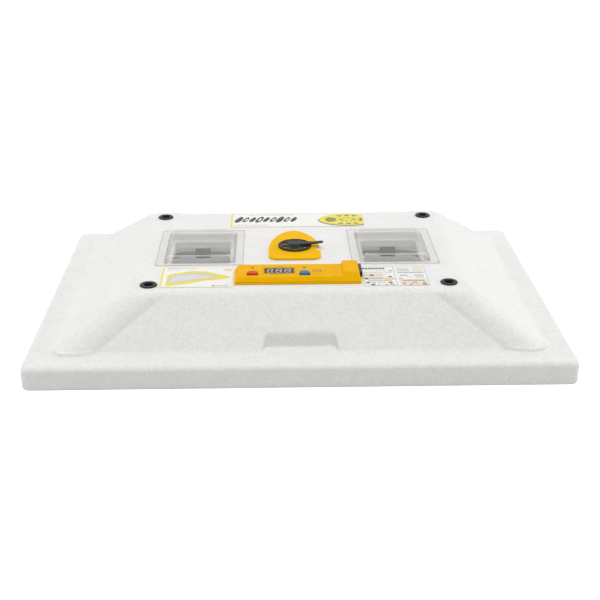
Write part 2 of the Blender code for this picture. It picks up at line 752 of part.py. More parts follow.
def turner_plate():
    low = ROOF_TOP + GAP
    outline = egg_outline()
    edge = 0.0006
    middle = (-0.0037, 0.005)
    inner = [
        (x - edge * (x - middle[0]) / 0.04, y - edge * (y - middle[1]) / 0.06) for x, y in outline
    ]
    plate = place(
        "turner_plate",
        loft((outline, low), (outline, low + PLATE_THICKNESS - edge), (inner, low + PLATE_THICKNESS)),
        "yellow",
    )
    bite = [(0.0400 + 0.0125 * x, -0.0085 + 0.0135 * y) for x, y in circle(1.0, steps=24)]
    cut(plate, prism(bite, low - 0.005, low + 0.010))
    cut(plate, cylinder(SHAFT_RADIUS + 0.0006, low - 0.005, low + 0.010, TURNER))


def dial_petal(angle):
    """Cutter for one of the six openings near the disc's rim."""
    points = []
    for radius, order in ((0.0130, 1), (0.0212, -1)):
        half = 15 if order == 1 else 13
        for step in range(-2, 3):
            turn = math.radians(angle + order * step * half / 2)
            points.append((TURNER[0] + radius * math.cos(turn), TURNER[1] + radius * math.sin(turn)))
    return prism(points, 0.100, 0.115)


def lever_arm():
    """Arm from the hub out past the disc, rising and narrowing to a round tip."""
    stations = (
        (0.004, 0.0078, 0.1075, 0.1116),
        (0.014, 0.0066, 0.1077, 0.1117),
        (0.022, 0.0056, 0.1084, 0.1119),
        (0.032, 0.0044, 0.1100, 0.1130),
        (0.039, 0.0040, 0.1108, 0.1137),
        (0.0425, 0.0031, 0.1113, 0.1138),
        (0.0442, 0.0014, 0.1119, 0.1134),
    )
    shape = bmesh.new()
    rings = []
    for x, half, low, high in stations:
        middle, tall = (low + high) / 2, (high - low) / 2
        section = rounded((half, tall), 0.6 * min(half, tall), steps=2)
        rings.append(
            [shape.verts.new((TURNER[0] + x, TURNER[1] + y, middle + z)) for y, z in section]
        )
    shape.faces.new(rings[0])
    shape.faces.new(rings[-1])
    for near, far in zip(rings, rings[1:]):
        for i in range(len(near)):
            j = (i + 1) % len(near)
            shape.faces.new((near[i], near[j], far[j], far[i]))
    bmesh.ops.recalc_face_normals(shape, faces=shape.faces)
    return shape


def turner_lever():
    """Everything that turns together: the disc with its arm, the shaft, the crank and its nut."""
    disc_low = ROOF_TOP + 2 * GAP + PLATE_THICKNESS
    disc_top = disc_low + DISC_THICKNESS
    axis = (*TURNER, disc_low)
    profile = (
        (DISC_RADIUS, disc_low),
        (DISC_RADIUS, disc_top - 0.0006),
        (DISC_RADIUS - 0.0007, disc_top),
        (0.0108, disc_top),
        (0.0096, disc_top + 0.0026),
        (0.0070, disc_top + 0.0033),
    )
    dial = place("turner_dial", turned(profile, TURNER, 36), "black", axis)
    join(dial, lever_arm())
    cut(dial, *(dial_petal(30 + 60 * number) for number in range(6)))
    cut(dial, cylinder(SHAFT_RADIUS + GAP, disc_low - 0.002, disc_top + 0.0016, TURNER))
    shaft = cylinder(SHAFT_RADIUS, SHAFT_BOTTOM, disc_top + 0.0012, TURNER)
    place("turner_shaft", shaft, "steel", axis)

    outline = []
    ends = ((CRANK_LENGTH, CRANK_END_RADIUS, -90), (0.0, CRANK_HUB_RADIUS, 90))
    for centre, radius, start in ends:
        for step in range(9):
            angle = math.radians(start + 22.5 * step)
            x = TURNER[0] + centre + radius * math.cos(angle)
            outline.append((x, TURNER[1] + radius * math.sin(angle)))
    crank = place("crank_arm", prism(outline, CRANK_LOW, CRANK_HIGH), "steel", axis)
    pin_at = (TURNER[0] + CRANK_LENGTH, TURNER[1])
    join(crank, cylinder(CRANK_PIN_RADIUS, CRANK_PIN_LOW, CRANK_LOW + 0.001, pin_at, 16))
    cut(crank, cylinder(SHAFT_RADIUS + GAP, CRANK_LOW - 0.002, CRANK_HIGH + 0.002, TURNER))
    nut = place("crank_nut", cylinder(NUT_RADIUS, NUT_LOW, CRANK_LOW - GAP, TURNER, 6), "steel", axis)
    cut(nut, cylinder(SHAFT_RADIUS + GAP, NUT_LOW - 0.002, CRANK_LOW + 0.002, TURNER))


def turner_fixed():
    """The bush that guides the shaft through the foam, and the washer under it."""
    flange_high = ROOF_UNDERSIDE - GAP
    flange_low = flange_high - BUSH_FLANGE_THICKNESS
    bore = SHAFT_RADIUS + GAP
    profile = (
        (bore, flange_low),
        (BUSH_FLANGE, flange_low),
        (BUSH_FLANGE, flange_high),
        (BUSH_TUBE, flange_high),
        (BUSH_TUBE, ROOF_TOP),
        (bore, ROOF_TOP),
    )
    place("turner_bush", turned(profile, TURNER, ring=True), "black")
    low, high = CRANK_HIGH + GAP, flange_low - GAP
    rim = CRANK_HUB_RADIUS - 0.0015
    washer = ((bore, low), (rim, low), (rim, high), (bore, high))
    place("turner_washer", turned(washer, TURNER, ring=True), "steel")


# ---------------------------------------------------------------- heater and probe
def heater_route():
    """A loop round both windows, whose ends turn forward near the control unit."""
    half_x, half_y = HEATER_HALF
    bend, turn_in = HEATER_BEND, 0.012
    points = [(HEATER_ENDS_X, HEATER_END_Y), (HEATER_ENDS_X, -half_y - turn_in)]
    centre = (HEATER_ENDS_X + turn_in, -half_y - turn_in)
    for degrees in (150, 120, 90):
        angle = math.radians(degrees)
        points.append((centre[0] + turn_in * math.cos(angle), centre[1] + turn_in * math.sin(angle)))
    for corner_y, start in ((-half_y + bend, -90), (half_y - bend, 0)):
        for step in range(7):
            angle = math.radians(start + 15 * step)
            points.append((half_x - bend + bend * math.cos(angle), corner_y + bend * math.sin(angle)))
    points += [(-x, y) for x, y in reversed(points)]
    return [(x, y, HEATER_Z) for x, y in points]


def heater():
    tube("heater_tube", heater_route(), HEATER_RADIUS, "heater", 2)
    for name, side in (("left", -1), ("right", 1)):
        end = (side * HEATER_ENDS_X, HEATER_END_Y, HEATER_Z)
        cap = cylinder(TERMINAL_RADIUS, GAP, TERMINAL_LENGTH, steps=16)
        place(f"heater_terminal_{name}", aimed(cap, (0, -1, 0), end), "ceramic")
        lead = (
            (end[0], HEATER_END_Y - TERMINAL_LENGTH - GAP, HEATER_Z),
            (side * 0.0196, -0.1260, HEATER_Z),
            (side * 0.0150, -0.1312, 0.0645),
            (side * 0.0070, -0.1300, 0.0690),
            (side * 0.0030, -0.1255, 0.0745),
            (side * 0.0028, -0.1248, 0.0820),
            (side * 0.0028, -0.1248, BOARD_BOTTOM - 0.0008),
        )
        tube(f"heater_lead_{name}", smooth_route(lead, 0.0028), LEAD_RADIUS, "cable")


def heater_brackets():
    """P-shaped holders under the roof, each with the heater tube through its eye."""
    top = ROOF_UNDERSIDE - GAP
    section = (
        (0.0130, top),
        (0.0130, top - 0.0027),
        (0.0070, top - 0.0040),
        (0.0064, HEATER_Z),
        (0.0045, HEATER_Z - 0.0048),
        (-0.0045, HEATER_Z - 0.0048),
        (-0.0064, HEATER_Z),
        (-0.0070, top - 0.0040),
        (-0.0130, top - 0.0027),
        (-0.0130, top),
    )
    spots = {
        "front_left": (-BRACKET_X, -HEATER_HALF[1], "x"),
        "front_right": (BRACKET_X, -HEATER_HALF[1], "x"),
        "back_left": (-BRACKET_X, HEATER_HALF[1], "x"),
        "back_right": (BRACKET_X, HEATER_HALF[1], "x"),
        "end_left": (-HEATER_HALF[0], 0.0, "y"),
        "end_right": (HEATER_HALF[0], 0.0, "y"),
    }
    for name, (x, y, runs) in spots.items():
        shape = bmesh.new()
        ends = []
        for along in (-BRACKET_HALF_LENGTH, BRACKET_HALF_LENGTH):
            if runs == "x":
                ends.append([shape.verts.new((x + along, y + across, z)) for across, z in section])
            else:
                ends.append([shape.verts.new((x + across, y + along, z)) for across, z in section])
        shape.faces.new(ends[0])
        shape.faces.new(ends[1])
        for i in range(len(section)):
            j = (i + 1) % len(section)
            shape.faces.new((ends[0][i], ends[0][j], ends[1][j], ends[1][i]))
        bracket = place(f"heater_bracket_{name}", shape, "black")
        direction = (1, 0, 0) if runs == "x" else (0, 1, 0)
        eye = cylinder(HEATER_RADIUS + GAP, -0.02, 0.02, steps=16)
        cut(bracket, aimed(eye, direction, (x, y, HEATER_Z)))


def temperature_probe():
    """Steel probe in a clip under the roof, with its cable led back up the wire spout."""
    front, back = PROBE_ENDS_Y
    nose, tip_radius = 0.0015, 0.0018
    profile = (
        (tip_radius, front),
        (PROBE_RADIUS, front + nose),
        (PROBE_RADIUS, back - nose),
        (tip_radius, back),
    )
    probe = aimed(turned(profile, steps=16), (0, 1, 0), (PROBE_X, 0.0, PROBE_Z))
    place("temperature_probe", probe, "steel")
    clip_low = (PROBE_X - PROBE_CLIP_HALF, PROBE_CLIP_Y[0], PROBE_CLIP_LOW)
    clip_high = (PROBE_X + PROBE_CLIP_HALF, PROBE_CLIP_Y[1], ROOF_UNDERSIDE - GAP)
    clip = place("probe_clip", box(clip_low, clip_high), "black")
    middle = (PROBE_X, sum(PROBE_CLIP_Y) / 2, PROBE_Z)
    cut(clip, aimed(cylinder(PROBE_RADIUS + GAP, -0.02, 0.02, steps=16), (0, 1, 0), middle))
    route = (
        (0.0, -0.1205, BOARD_BOTTOM - 0.0008),
        (0.0, -0.1205, 0.0790),
        (0.0008, -0.1185, 0.0741),
        (0.0045, -0.1100, 0.0727),
        (0.0150, -0.0930, 0.0732),
        (0.0280, -0.0780, 0.0722),
        (PROBE_X - 0.0005, -0.0700, 0.0704),
        (PROBE_X, front - GAP, PROBE_Z),
    )
    tube("probe_cable", smooth_route(route, 0.0028), LEAD_RADIUS, "cable")


# ---------------------------------------------------------------- printed labels
def labels():
    low = ROOF_TOP + GAP
    for name, (corner_low, corner_high) in LABELS.items():
        outline = rounded_between(corner_low, corner_high, 0.001, 1)
        place(name, prism(outline, low, low + LABEL_THICKNESS), "label")


def main():
    clear_scene()
    make_materials()
    foam_lid()
    windows()
    vent_bushings()
    control_base()
    control_cover()
    control_buttons()
    control_electronics()
    mains_inlet()
    control_fixing()
    turner_plate()
    turner_lever()
    turner_fixed()
    heater()
    heater_brackets()
    temperature_probe()
    labels()


main()
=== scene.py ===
"""Looks of a household foam egg incubator's lid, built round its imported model.

Metres, +Z up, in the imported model's frame: the lid's rim stands on z = 0, +X runs to the right
along the long side, and -Y is the front, where the control unit sits.

Moulded shapes with blended edges (the foam shell, the control unit's cover, the turning lever)
are written as distance fields and meshed by net_of(). Turned and lofted shapes follow plain
profiles. What is printed on the labels and the cover is a set of thin slabs of ink.
"""

import itertools
import math

import bmesh
import bpy
import numpy as np
from mathutils import Matrix, Vector


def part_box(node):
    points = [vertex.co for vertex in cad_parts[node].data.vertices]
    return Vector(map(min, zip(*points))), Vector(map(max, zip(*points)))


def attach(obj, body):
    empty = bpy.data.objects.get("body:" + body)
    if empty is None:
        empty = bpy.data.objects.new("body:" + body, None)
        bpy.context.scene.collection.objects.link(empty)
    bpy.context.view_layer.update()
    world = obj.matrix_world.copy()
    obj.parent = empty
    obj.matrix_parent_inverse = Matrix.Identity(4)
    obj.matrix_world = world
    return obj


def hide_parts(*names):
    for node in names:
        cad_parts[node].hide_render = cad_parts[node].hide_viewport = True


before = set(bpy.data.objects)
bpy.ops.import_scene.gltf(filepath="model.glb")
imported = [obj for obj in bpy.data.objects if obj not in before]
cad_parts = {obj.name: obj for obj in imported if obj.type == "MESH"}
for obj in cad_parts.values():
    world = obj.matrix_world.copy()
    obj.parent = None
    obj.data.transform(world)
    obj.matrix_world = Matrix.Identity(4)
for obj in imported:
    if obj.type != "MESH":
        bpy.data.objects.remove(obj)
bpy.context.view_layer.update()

# -------- sizes
GAP = 0.0003
LID_LOW, LID_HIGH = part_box("foam_lid")
RIM_HALF = (LID_HIGH.x, LID_HIGH.y)
ROOF = LID_HIGH.z
RIM_TOP = 0.034
RIM_CORNER = 0.012
RIM_EDGE = 0.007
FOOT_EDGE = 0.003
SLOPE_BASE = (0.342, 0.239)
ROOF_HALF = (0.240, 0.180)
HIP_ROUND = 0.020
ROOF_ROUND = 0.0045
ROOF_UNDERSIDE = 0.080
SEAT_HALF = (0.345, 0.245)
SEAT_DEPTH = 0.008
HOLLOW_BASE = (0.325, 0.225)
HOLLOW_ROOF = (0.222, 0.162)
ROLL_RADIUS = 0.030
ROLL_INSET = 0.019
ROLL_SINK = 0.024
ROLL_FOOT_TOP = 0.0395
GRIP_BACK = (0.0485, 0.2200)
GRIP_SPREAD = 0.28
GRIP_FLOOR = 0.0345
WELL_HOLE = (0.044, 0.058)
WELL_POCKET = (0.053, 0.068)
WELL_LEDGE = 0.091

DOME_HALF = (0.0516, 0.0680)
DOME_INSET = 0.007
FLANGE_THICKNESS = 0.002
CLEAR_WALL = 0.002

VENT_BORE = 0.00675
VENT_TUBE = 0.0094

PANEL_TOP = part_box("display_window")[1].z + GAP
COVER_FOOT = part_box("control_cover")[0].z
COVER_FRONT = -0.1535
COVER_BACK = -0.0945
BLOCK_LEFT = 0.0625
LED_Y = -0.1095
PANE_HALF = (0.0210, 0.0105)
LIP = PANEL_TOP - 0.0023

SPOUT_Y = -0.124
SPOUT_HOLE = 0.0081
TUB_FLOOR = 0.0884 - GAP
TUB_INSET = 0.0068

TURNER = (-0.0030, -0.0025)
SHAFT_HOLE = 0.0085

FOAM_STEP = 0.0024
FOAM_KEEP = 0.45
FINE_STEP = 0.00045
INK = 0.00003

WORLD_LIGHT = 0.22
WALL_LIGHT = 1.0
FLOOR_INSIDE = 0.16
FLOOR_HALF = 12.0
FLOOR_DROP = 0.0002
WALL_START, WALL_FULL = 0.55, 0.80


# -------- meshes from distance fields
def cut_by(a, b, radius=0.0):
    """Where both fields are below zero, with the edge between them rounded off."""
    rounded_part = np.hypot(np.maximum(a + radius, 0.0), np.maximum(b + radius, 0.0))
    return np.minimum(np.maximum(a, b), -radius) + rounded_part


def joined(a, b, radius=0.0):
    """Where either field is below zero, with a fillet in the angle between them."""
    return -cut_by(-a, -b, radius)


def plan(x, y, half, corner, centre=(0.0, 0.0)):
    """Distance to a rectangle with round corners, seen from above."""
    dx = np.abs(x - centre[0]) - (half[0] - corner)
    dy = np.abs(y - centre[1]) - (half[1] - corner)
    outside = np.hypot(np.maximum(dx, 0.0), np.maximum(dy, 0.0))
    return outside + np.minimum(np.maximum(dx, dy), 0.0) - corner


def middle_of(node):
    """A node's middle, seen from above."""
    low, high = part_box(node)
    return (low.x + high.x) / 2, (low.y + high.y) / 2


def half_of(node):
    """Half a node's width and depth."""
    low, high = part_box(node)
    return (high.x - low.x) / 2, (high.y - low.y) / 2


def grown(half, by):
    return half[0] + by, half[1] + by


def smoothstep(value, low, high):
    share = np.clip((value - low) / (high - low), 0.0, 1.0)
    return share * share * (3 - 2 * share)


def gradient(field, points, reach):
    """The field's slope at each point, by central differences."""
    slope = np.empty_like(points)
    for axis in range(3):
        shift = np.zeros(3)
        shift[axis] = reach
        ahead, behind = field(*(points + shift).T), field(*(points - shift).T)
        slope[:, axis] = (ahead - behind) / (2 * reach)
    return slope


def net_of(field, low, high, step):
    """Points and quads of the surface where field(x, y, z) is zero, inside a box."""
    counts = [int(math.ceil((b - a) / step)) + 1 for a, b in zip(low, high)]
    axes = [a + step * np.arange(n) for a, n in zip(low, counts)]
    values = np.broadcast_to(field(*np.ix_(*axes)), counts)
    inside = values < 0
    corners = np.array(list(itertools.product((0, 1), repeat=3)))
    filled = np.zeros([n - 1 for n in counts], np.int8)
    for corner in corners:
        part = tuple(slice(c, n - 1 + c) for c, n in zip(corner, counts))
        filled += inside[part]
    cells = np.argwhere((filled > 0) & (filled < len(corners)))
    number = np.full(filled.shape, -1)
    number[tuple(cells.T)] = np.arange(len(cells))

    units = np.eye(3, dtype=int)
    total, crossed = np.zeros((len(cells), 3)), np.zeros(len(cells))
    for along, corner in itertools.product(units, corners):
        if corner @ along:
            continue
        near = values[tuple((cells + corner).T)]
        far = values[tuple((cells + corner + along).T)]
        changes = (near < 0) != (far < 0)
        share = near / np.where(changes, near - far, 1.0)
        total += np.where(changes[:, None], corner + share[:, None] * along, 0.0)
        crossed += changes
    points = np.array(low) + step * (cells + total / crossed[:, None])

    quads = []
    for axis, along in enumerate(units):
        side_a, side_b = units[(axis + 1) % 3], units[(axis + 2) % 3]
        here = inside[tuple(slice(0, n - u) for n, u in zip(counts, along))]
        there = inside[tuple(slice(u, n) for n, u in zip(counts, along))]
        edges = np.argwhere(here != there)
        around = (edges, edges - side_a, edges - side_a - side_b, edges - side_b)
        found = np.stack([number[tuple(cell.T)] for cell in around], axis=1)
        outward = here[tuple(edges.T)]
        quads.append(np.where(outward[:, None], found, found[:, ::-1]))

    for _ in range(3):  # settle the points on the surface
        slope = gradient(field, points, 0.2 * step)
        value = field(*points.T)[:, None]
        move = value * slope / np.maximum((slope**2).sum(axis=1, keepdims=True), 0.05)
        points -= np.clip(move, -0.5 * step, 0.5 * step)
    return points, np.concatenate(quads)


def field_piece(name, field, low, high, step, keep=1.0):
    """An object meshed from a field, thinned where it is flat, with normals from the field."""
    margin = 1.5 * step
    points, quads = net_of(
        field, [value - margin for value in low], [value + margin for value in high], step
    )
    mesh = bpy.data.meshes.new(name)
    mesh.from_pydata(points.tolist(), [], quads.tolist())
    piece = bpy.data.objects.new(name, mesh)
    bpy.context.scene.collection.objects.link(piece)
    if keep < 1.0:
        thin = piece.modifiers.new("thin", "DECIMATE")
        thin.ratio = keep
        apply_modifiers(piece)
    mesh = piece.data
    mesh.shade_smooth()
    settled = np.array([vertex.co for vertex in mesh.vertices])
    normals = gradient(field, settled, 0.3 * step)
    normals /= np.maximum(np.linalg.norm(normals, axis=1, keepdims=True), 1e-9)
    mesh.normals_split_custom_set_from_vertices(normals.tolist())
    return piece


# -------- meshes from profiles
def apply_modifiers(piece):
    graph = bpy.context.evaluated_depsgraph_get()
    mesh = bpy.data.meshes.new_from_object(piece.evaluated_get(graph), depsgraph=graph)
    piece.modifiers.clear()
    piece.data = mesh


def piece_of(name, shape, sharp=35.0):
    """Turns a bmesh into an object with smooth faces and sharp edges over an angle."""
    bmesh.ops.recalc_face_normals(shape, faces=shape.faces)
    mesh = bpy.data.meshes.new(name)
    shape.to_mesh(mesh)
    shape.free()
    mesh.shade_smooth()
    mesh.set_sharp_from_angle(angle=math.radians(sharp))
    piece = bpy.data.objects.new(name, mesh)
    bpy.context.scene.collection.objects.link(piece)
    return piece


def hand_over(piece, body, slot, coat, *nodes):
    """Gives a finished piece its material, its place in the object, and the nodes it replaces."""
    if coat:
        piece.data.materials.clear()
        piece.data.materials.append(COATS[coat])
    if nodes:
        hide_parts(*nodes)
    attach(piece, body)


def bend(start, corner, end, steps=4):
    """Points of a quadratic curve that rounds off the corner between two points."""
    points = []
    for step in range(steps + 1):
        t = step / steps
        shares = ((1 - t) ** 2, 2 * t * (1 - t), t * t)
        points.append(tuple(np.dot(shares, values) for values in zip(start, corner, end)))
    return points


def rounded(half, radius, centre=(0.0, 0.0), steps=8):
    """Points of a rectangle with round corners, counter-clockwise."""
    points = []
    for quadrant, (sx, sy) in enumerate(((1, 1), (-1, 1), (-1, -1), (1, -1))):
        for step in range(steps + 1):
            angle = math.radians(90 * (quadrant + step / steps))
            x = centre[0] + sx * (half[0] - radius) + radius * math.cos(angle)
            y = centre[1] + sy * (half[1] - radius) + radius * math.sin(angle)
            points.append((x, y))
    return points


def turns(steps):
    return [2 * math.pi * step / steps for step in range(steps)]


def circle(radius, centre=(0.0, 0.0), steps=48):
    x, y = centre
    return [(x + radius * math.cos(t), y + radius * math.sin(t)) for t in turns(steps)]


def lofted(levels, ring=False, shape=None):
    """A solid through outlines with equal point counts, or a closed ring of them."""
    shape = shape or bmesh.new()
    rings = [[shape.verts.new((x, y, z)) for x, y in outline] for outline, z in levels]
    pairs = list(zip(rings, rings[1:]))
    if ring:
        pairs.append((rings[-1], rings[0]))
    else:
        shape.faces.new(rings[0])
        shape.faces.new(rings[-1])
    for low, high in pairs:
        for i in range(len(low)):
            j = (i + 1) % len(low)
            shape.faces.new((low[i], low[j], high[j], high[i]))
    return shape


def turned(profile, centre=(0.0, 0.0), steps=48, ring=False, shape=None):
    """A solid, or a ring, turned about a vertical axis from (radius, z) points."""
    return lofted([(circle(r, centre, steps), z) for r, z in profile], ring, shape)


def round_edges(piece, width, segments, angle):
    """Rounds every edge that turns by more than an angle in degrees."""
    edge = piece.modifiers.new("edge", "BEVEL")
    edge.width = width
    edge.segments = segments
    edge.limit_method = "ANGLE"
    edge.angle_limit = math.radians(angle)
    edge.harden_normals = True
    piece.data.shade_smooth()


def finish_node(node, coat, width, segments):
    """Gives a node that keeps its own solid a material and, with a width, round edges."""
    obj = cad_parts[node]
    obj.data.materials.clear()
    obj.data.materials.append(coat)
    if not width:
        return
    weld = obj.modifiers.new("weld", "WELD")
    weld.merge_threshold = 0.00001
    flatten = obj.modifiers.new("flatten", "DECIMATE")
    flatten.decimate_type = "DISSOLVE"
    flatten.angle_limit = math.radians(0.5)
    round_edges(obj, width, segments, 30)


# -------- materials
def add_node(tree, kind, inputs, **settings):
    """A new node. Each input is a number, a tuple, or the output that feeds it."""
    made = tree.nodes.new(kind)
    for name, value in settings.items():
        setattr(made, name, value)
    for key, value in inputs.items():
        if isinstance(value, bpy.types.NodeSocket):
            tree.links.new(value, made.inputs[key])
        else:
            made.inputs[key].default_value = value
    return made


class Coat:
    """One material and the few nodes that most surfaces here share."""

    def __init__(self, name, roughness, metallic=0.0, gloss=0.5):
        self.made = bpy.data.materials.new(name)
        self.made.use_nodes = True
        self.tree = self.made.node_tree
        self.shader = self.tree.nodes["Principled BSDF"]
        self.set("Roughness", roughness)
        self.set("Metallic", metallic)
        self.set("Specular IOR Level", gloss)
        self.place = self.node("ShaderNodeTexCoord").outputs["Object"]

    def set(self, socket, value):
        self.shader.inputs[socket].default_value = value

    def feed(self, **sources):
        """Links outputs to the shader's sockets, named here in lower case with underscores."""
        for name, source in sources.items():
            self.tree.links.new(source, self.shader.inputs[name.replace("_", " ").title()])

    def node(self, kind, inputs=None, **settings):
        return add_node(self.tree, kind, inputs or {}, **settings)

    def noise(self, scale, detail=3.0, stretch=(1, 1, 1)):
        place = self.node("ShaderNodeMapping", {"Vector": self.place, "Scale": stretch})
        inputs = {"Vector": place.outputs["Vector"], "Scale": scale, "Detail": detail}
        return self.node("ShaderNodeTexNoise", inputs).outputs["Fac"]

    def ranged(self, value, low, high, start=0.3, end=0.7):
        inputs = {"Value": value, "From Min": start, "From Max": end, "To Min": low, "To Max": high}
        return self.node("ShaderNodeMapRange", inputs).outputs["Result"]

    def math(self, operation, first, second=0.0):
        return self.node("ShaderNodeMath", {0: first, 1: second}, operation=operation).outputs["Value"]

    def mixed(self, share, first, second):
        """Colour between two, each a colour or a socket."""
        inputs = {"Factor": share}
        for key, colour in ((6, first), (7, second)):
            inputs[key] = (*colour, 1.0) if isinstance(colour, tuple) else colour
        return self.node("ShaderNodeMix", inputs, data_type="RGBA").outputs[2]

    def bumped(self, height, strength, distance, under=None):
        inputs = {"Height": height, "Strength": strength, "Distance": distance}
        if under:
            inputs["Normal"] = under
        return self.node("ShaderNodeBump", inputs).outputs["Normal"]

    def blend(self, share, first, second):
        """Shows the first shader at share 0 and the second at share 1."""
        mix = self.node("ShaderNodeMixShader", {"Fac": share, 1: first, 2: second})
        output = next(n for n in self.tree.nodes if n.type == "OUTPUT_MATERIAL")
        self.tree.links.new(mix.outputs["Shader"], output.inputs["Surface"])


def scaled(colour, by):
    return tuple(min(1.0, value * by) for value in colour)


def moulded(name, colour, roughness, mottle, scale, grain, gloss=0.5):
    """Moulded or painted surface: slow changes of tone, a fine grain, and uneven gloss."""
    coat = Coat(name, roughness, gloss=gloss)
    shade = coat.ranged(coat.noise(scale), 0.0, 1.0)
    coat.feed(
        base_color=coat.mixed(shade, scaled(colour, 1 - mottle), scaled(colour, 1 + mottle)),
        roughness=coat.ranged(coat.noise(scale * 5, 5.0), roughness - 0.05, roughness + 0.07),
        normal=coat.bumped(coat.noise(1800.0, 4.0), grain, 0.0002),
    )
    return coat.made


def foam_coat():
    """White moulded beads: a fine cell pattern with thin seams and a few brown specks."""
    bead_scale, speck_scale = 270.0, 42.0
    coat = Coat("foam", 0.62, gloss=0.35)
    coat.set("Sheen Weight", 0.05)

    def cells(feature, scale):
        inputs = {"Vector": coat.place, "Scale": scale}
        return coat.node("ShaderNodeTexVoronoi", inputs, feature=feature).outputs

    def channel(colour, name):
        return coat.node("ShaderNodeSeparateColor", {"Color": colour}).outputs[name]

    bead = cells("F1", bead_scale)
    tone = coat.mixed(channel(bead["Color"], "Green"), (0.800, 0.796, 0.778), (0.856, 0.853, 0.842))
    seams = coat.ranged(cells("DISTANCE_TO_EDGE", bead_scale)["Distance"], 1.0, 0.0, 0.0, 0.09)
    worn = coat.ranged(coat.noise(40.0, 3.0), 0.10, 0.60, 0.38, 0.66)
    tone = coat.mixed(coat.math("MULTIPLY", seams, worn), tone, (0.655, 0.648, 0.622))
    dots = cells("F1", speck_scale)
    near = coat.ranged(dots["Distance"], 1.0, 0.0, 0.03, 0.075)
    rare = coat.ranged(channel(dots["Color"], "Red"), 0.0, 0.50, 0.78, 0.88)
    tone = coat.mixed(coat.math("MULTIPLY", near, rare), tone, (0.34, 0.29, 0.21))
    dimples = coat.bumped(bead["Distance"], 0.34, 0.0009)
    uneven = coat.bumped(coat.noise(160.0, 3.0), 0.08, 0.0012, dimples)
    coat.feed(base_color=tone, normal=uneven)
    return coat.made


def clear_coat(name, colour, metallic, power, skin_share):
    """Thin clear sheet: a skin, stronger at low angles, over what shows through. With a matt coloured skin
    shown at a large constant share, it paints lines on the sheet: painted shade and painted highlight.
    """
    coat = Coat(name, 0.06, metallic)
    coat.set("Base Color", (*colour, 1.0))
    coat.feed(
        roughness=coat.ranged(coat.noise(140.0, 4.0), 0.05, 0.12),
        normal=coat.bumped(coat.noise(45.0, 2.0), 0.05, 0.0010),
    )
    through = coat.node("ShaderNodeBsdfTransparent", {"Color": (0.985, 0.984, 0.980, 1.0)})
    facing = coat.node("ShaderNodeLayerWeight").outputs["Facing"]
    mottled = coat.ranged(coat.noise(60.0, 3.0), *skin_share)
    share = coat.math("ADD", coat.math("POWER", facing, power), mottled)
    coat.blend(share, through.outputs["BSDF"], coat.shader.outputs["BSDF"])
    return coat.made


def brushed(name, colour, roughness, direction=(1, 1, 1)):
    """Plated or drawn metal with fine streaks."""
    coat = Coat(name, roughness, 1.0)
    streaks = coat.noise(500.0, 5.0, direction)
    coat.feed(
        base_color=coat.mixed(streaks, scaled(colour, 0.88), scaled(colour, 1.1)),
        roughness=coat.ranged(streaks, roughness - 0.08, roughness + 0.12),
        normal=coat.bumped(streaks, 0.1, 0.0001),
    )
    return coat.made


MOULDED = {  # material name, colour, roughness, mottle and its scale, grain, gloss
    "yellow": ("yellow_plastic", (0.84, 0.445, 0.001), 0.40, 0.03, 60.0, 0.10, 0.02),
    "plate": ("plate_yellow", (0.88, 0.490, 0.001), 0.42, 0.03, 60.0, 0.10, 0.02),
    "black": ("black_plastic", (0.008, 0.008, 0.009), 0.46, 0.25, 120.0, 0.15),
    "dial": ("dial_black", (0.015, 0.0145, 0.015), 0.50, 0.20, 120.0, 0.20),
    "fitting": ("fitting_black", (0.016, 0.016, 0.018), 0.45, 0.20, 120.0, 0.20),
    "smoke": ("smoked_window", (0.040, 0.028, 0.022), 0.18, 0.15, 80.0, 0.02, 0.12),
    "digit": ("digit_grey", (0.62, 0.60, 0.56), 0.40, 0.05, 400.0, 0.05),
    "red": ("red_plastic", (0.62, 0.040, 0.012), 0.36, 0.05, 150.0, 0.08, 0.2),
    "blue": ("blue_plastic", (0.010, 0.160, 0.400), 0.36, 0.05, 150.0, 0.08, 0.25),
    "lamp": ("indicator_amber", (0.080, 0.020, 0.008), 0.22, 0.10, 300.0, 0.03),
    "board": ("board_green", (0.020, 0.160, 0.060), 0.40, 0.20, 700.0, 0.10),
    "ceramic": ("ceramic_white", (0.74, 0.71, 0.65), 0.50, 0.06, 200.0, 0.15),
    "cable": ("cable_grey", (0.60, 0.60, 0.57), 0.48, 0.06, 300.0, 0.10),
    "film": ("label_film", (0.86, 0.855, 0.83), 0.36, 0.015, 120.0, 0.04),
}
INKS = {  # colour, roughness, mottle and its scale, grain
    "black": ((0.035, 0.033, 0.036), 0.45, 0.10, 400.0, 0.03),
    "grey": ((0.33, 0.31, 0.32), 0.45, 0.08, 400.0, 0.03),
    "pale": ((0.60, 0.59, 0.58), 0.45, 0.05, 400.0, 0.03),
    "yellow": ((0.80, 0.70, 0.07), 0.40, 0.06, 300.0, 0.03),
    "olive": ((0.17, 0.155, 0.06), 0.45, 0.08, 300.0, 0.03),
    "red": ((0.72, 0.32, 0.24), 0.45, 0.06, 400.0, 0.03),
    "sand": ((0.82, 0.70, 0.58), 0.45, 0.04, 300.0, 0.03),
    "orange": ((0.85, 0.56, 0.22), 0.45, 0.04, 300.0, 0.03),
    "green": ((0.35, 0.60, 0.45), 0.45, 0.04, 300.0, 0.03),
    "brown": ((0.22, 0.12, 0.02), 0.40, 0.10, 400.0, 0.05),
}
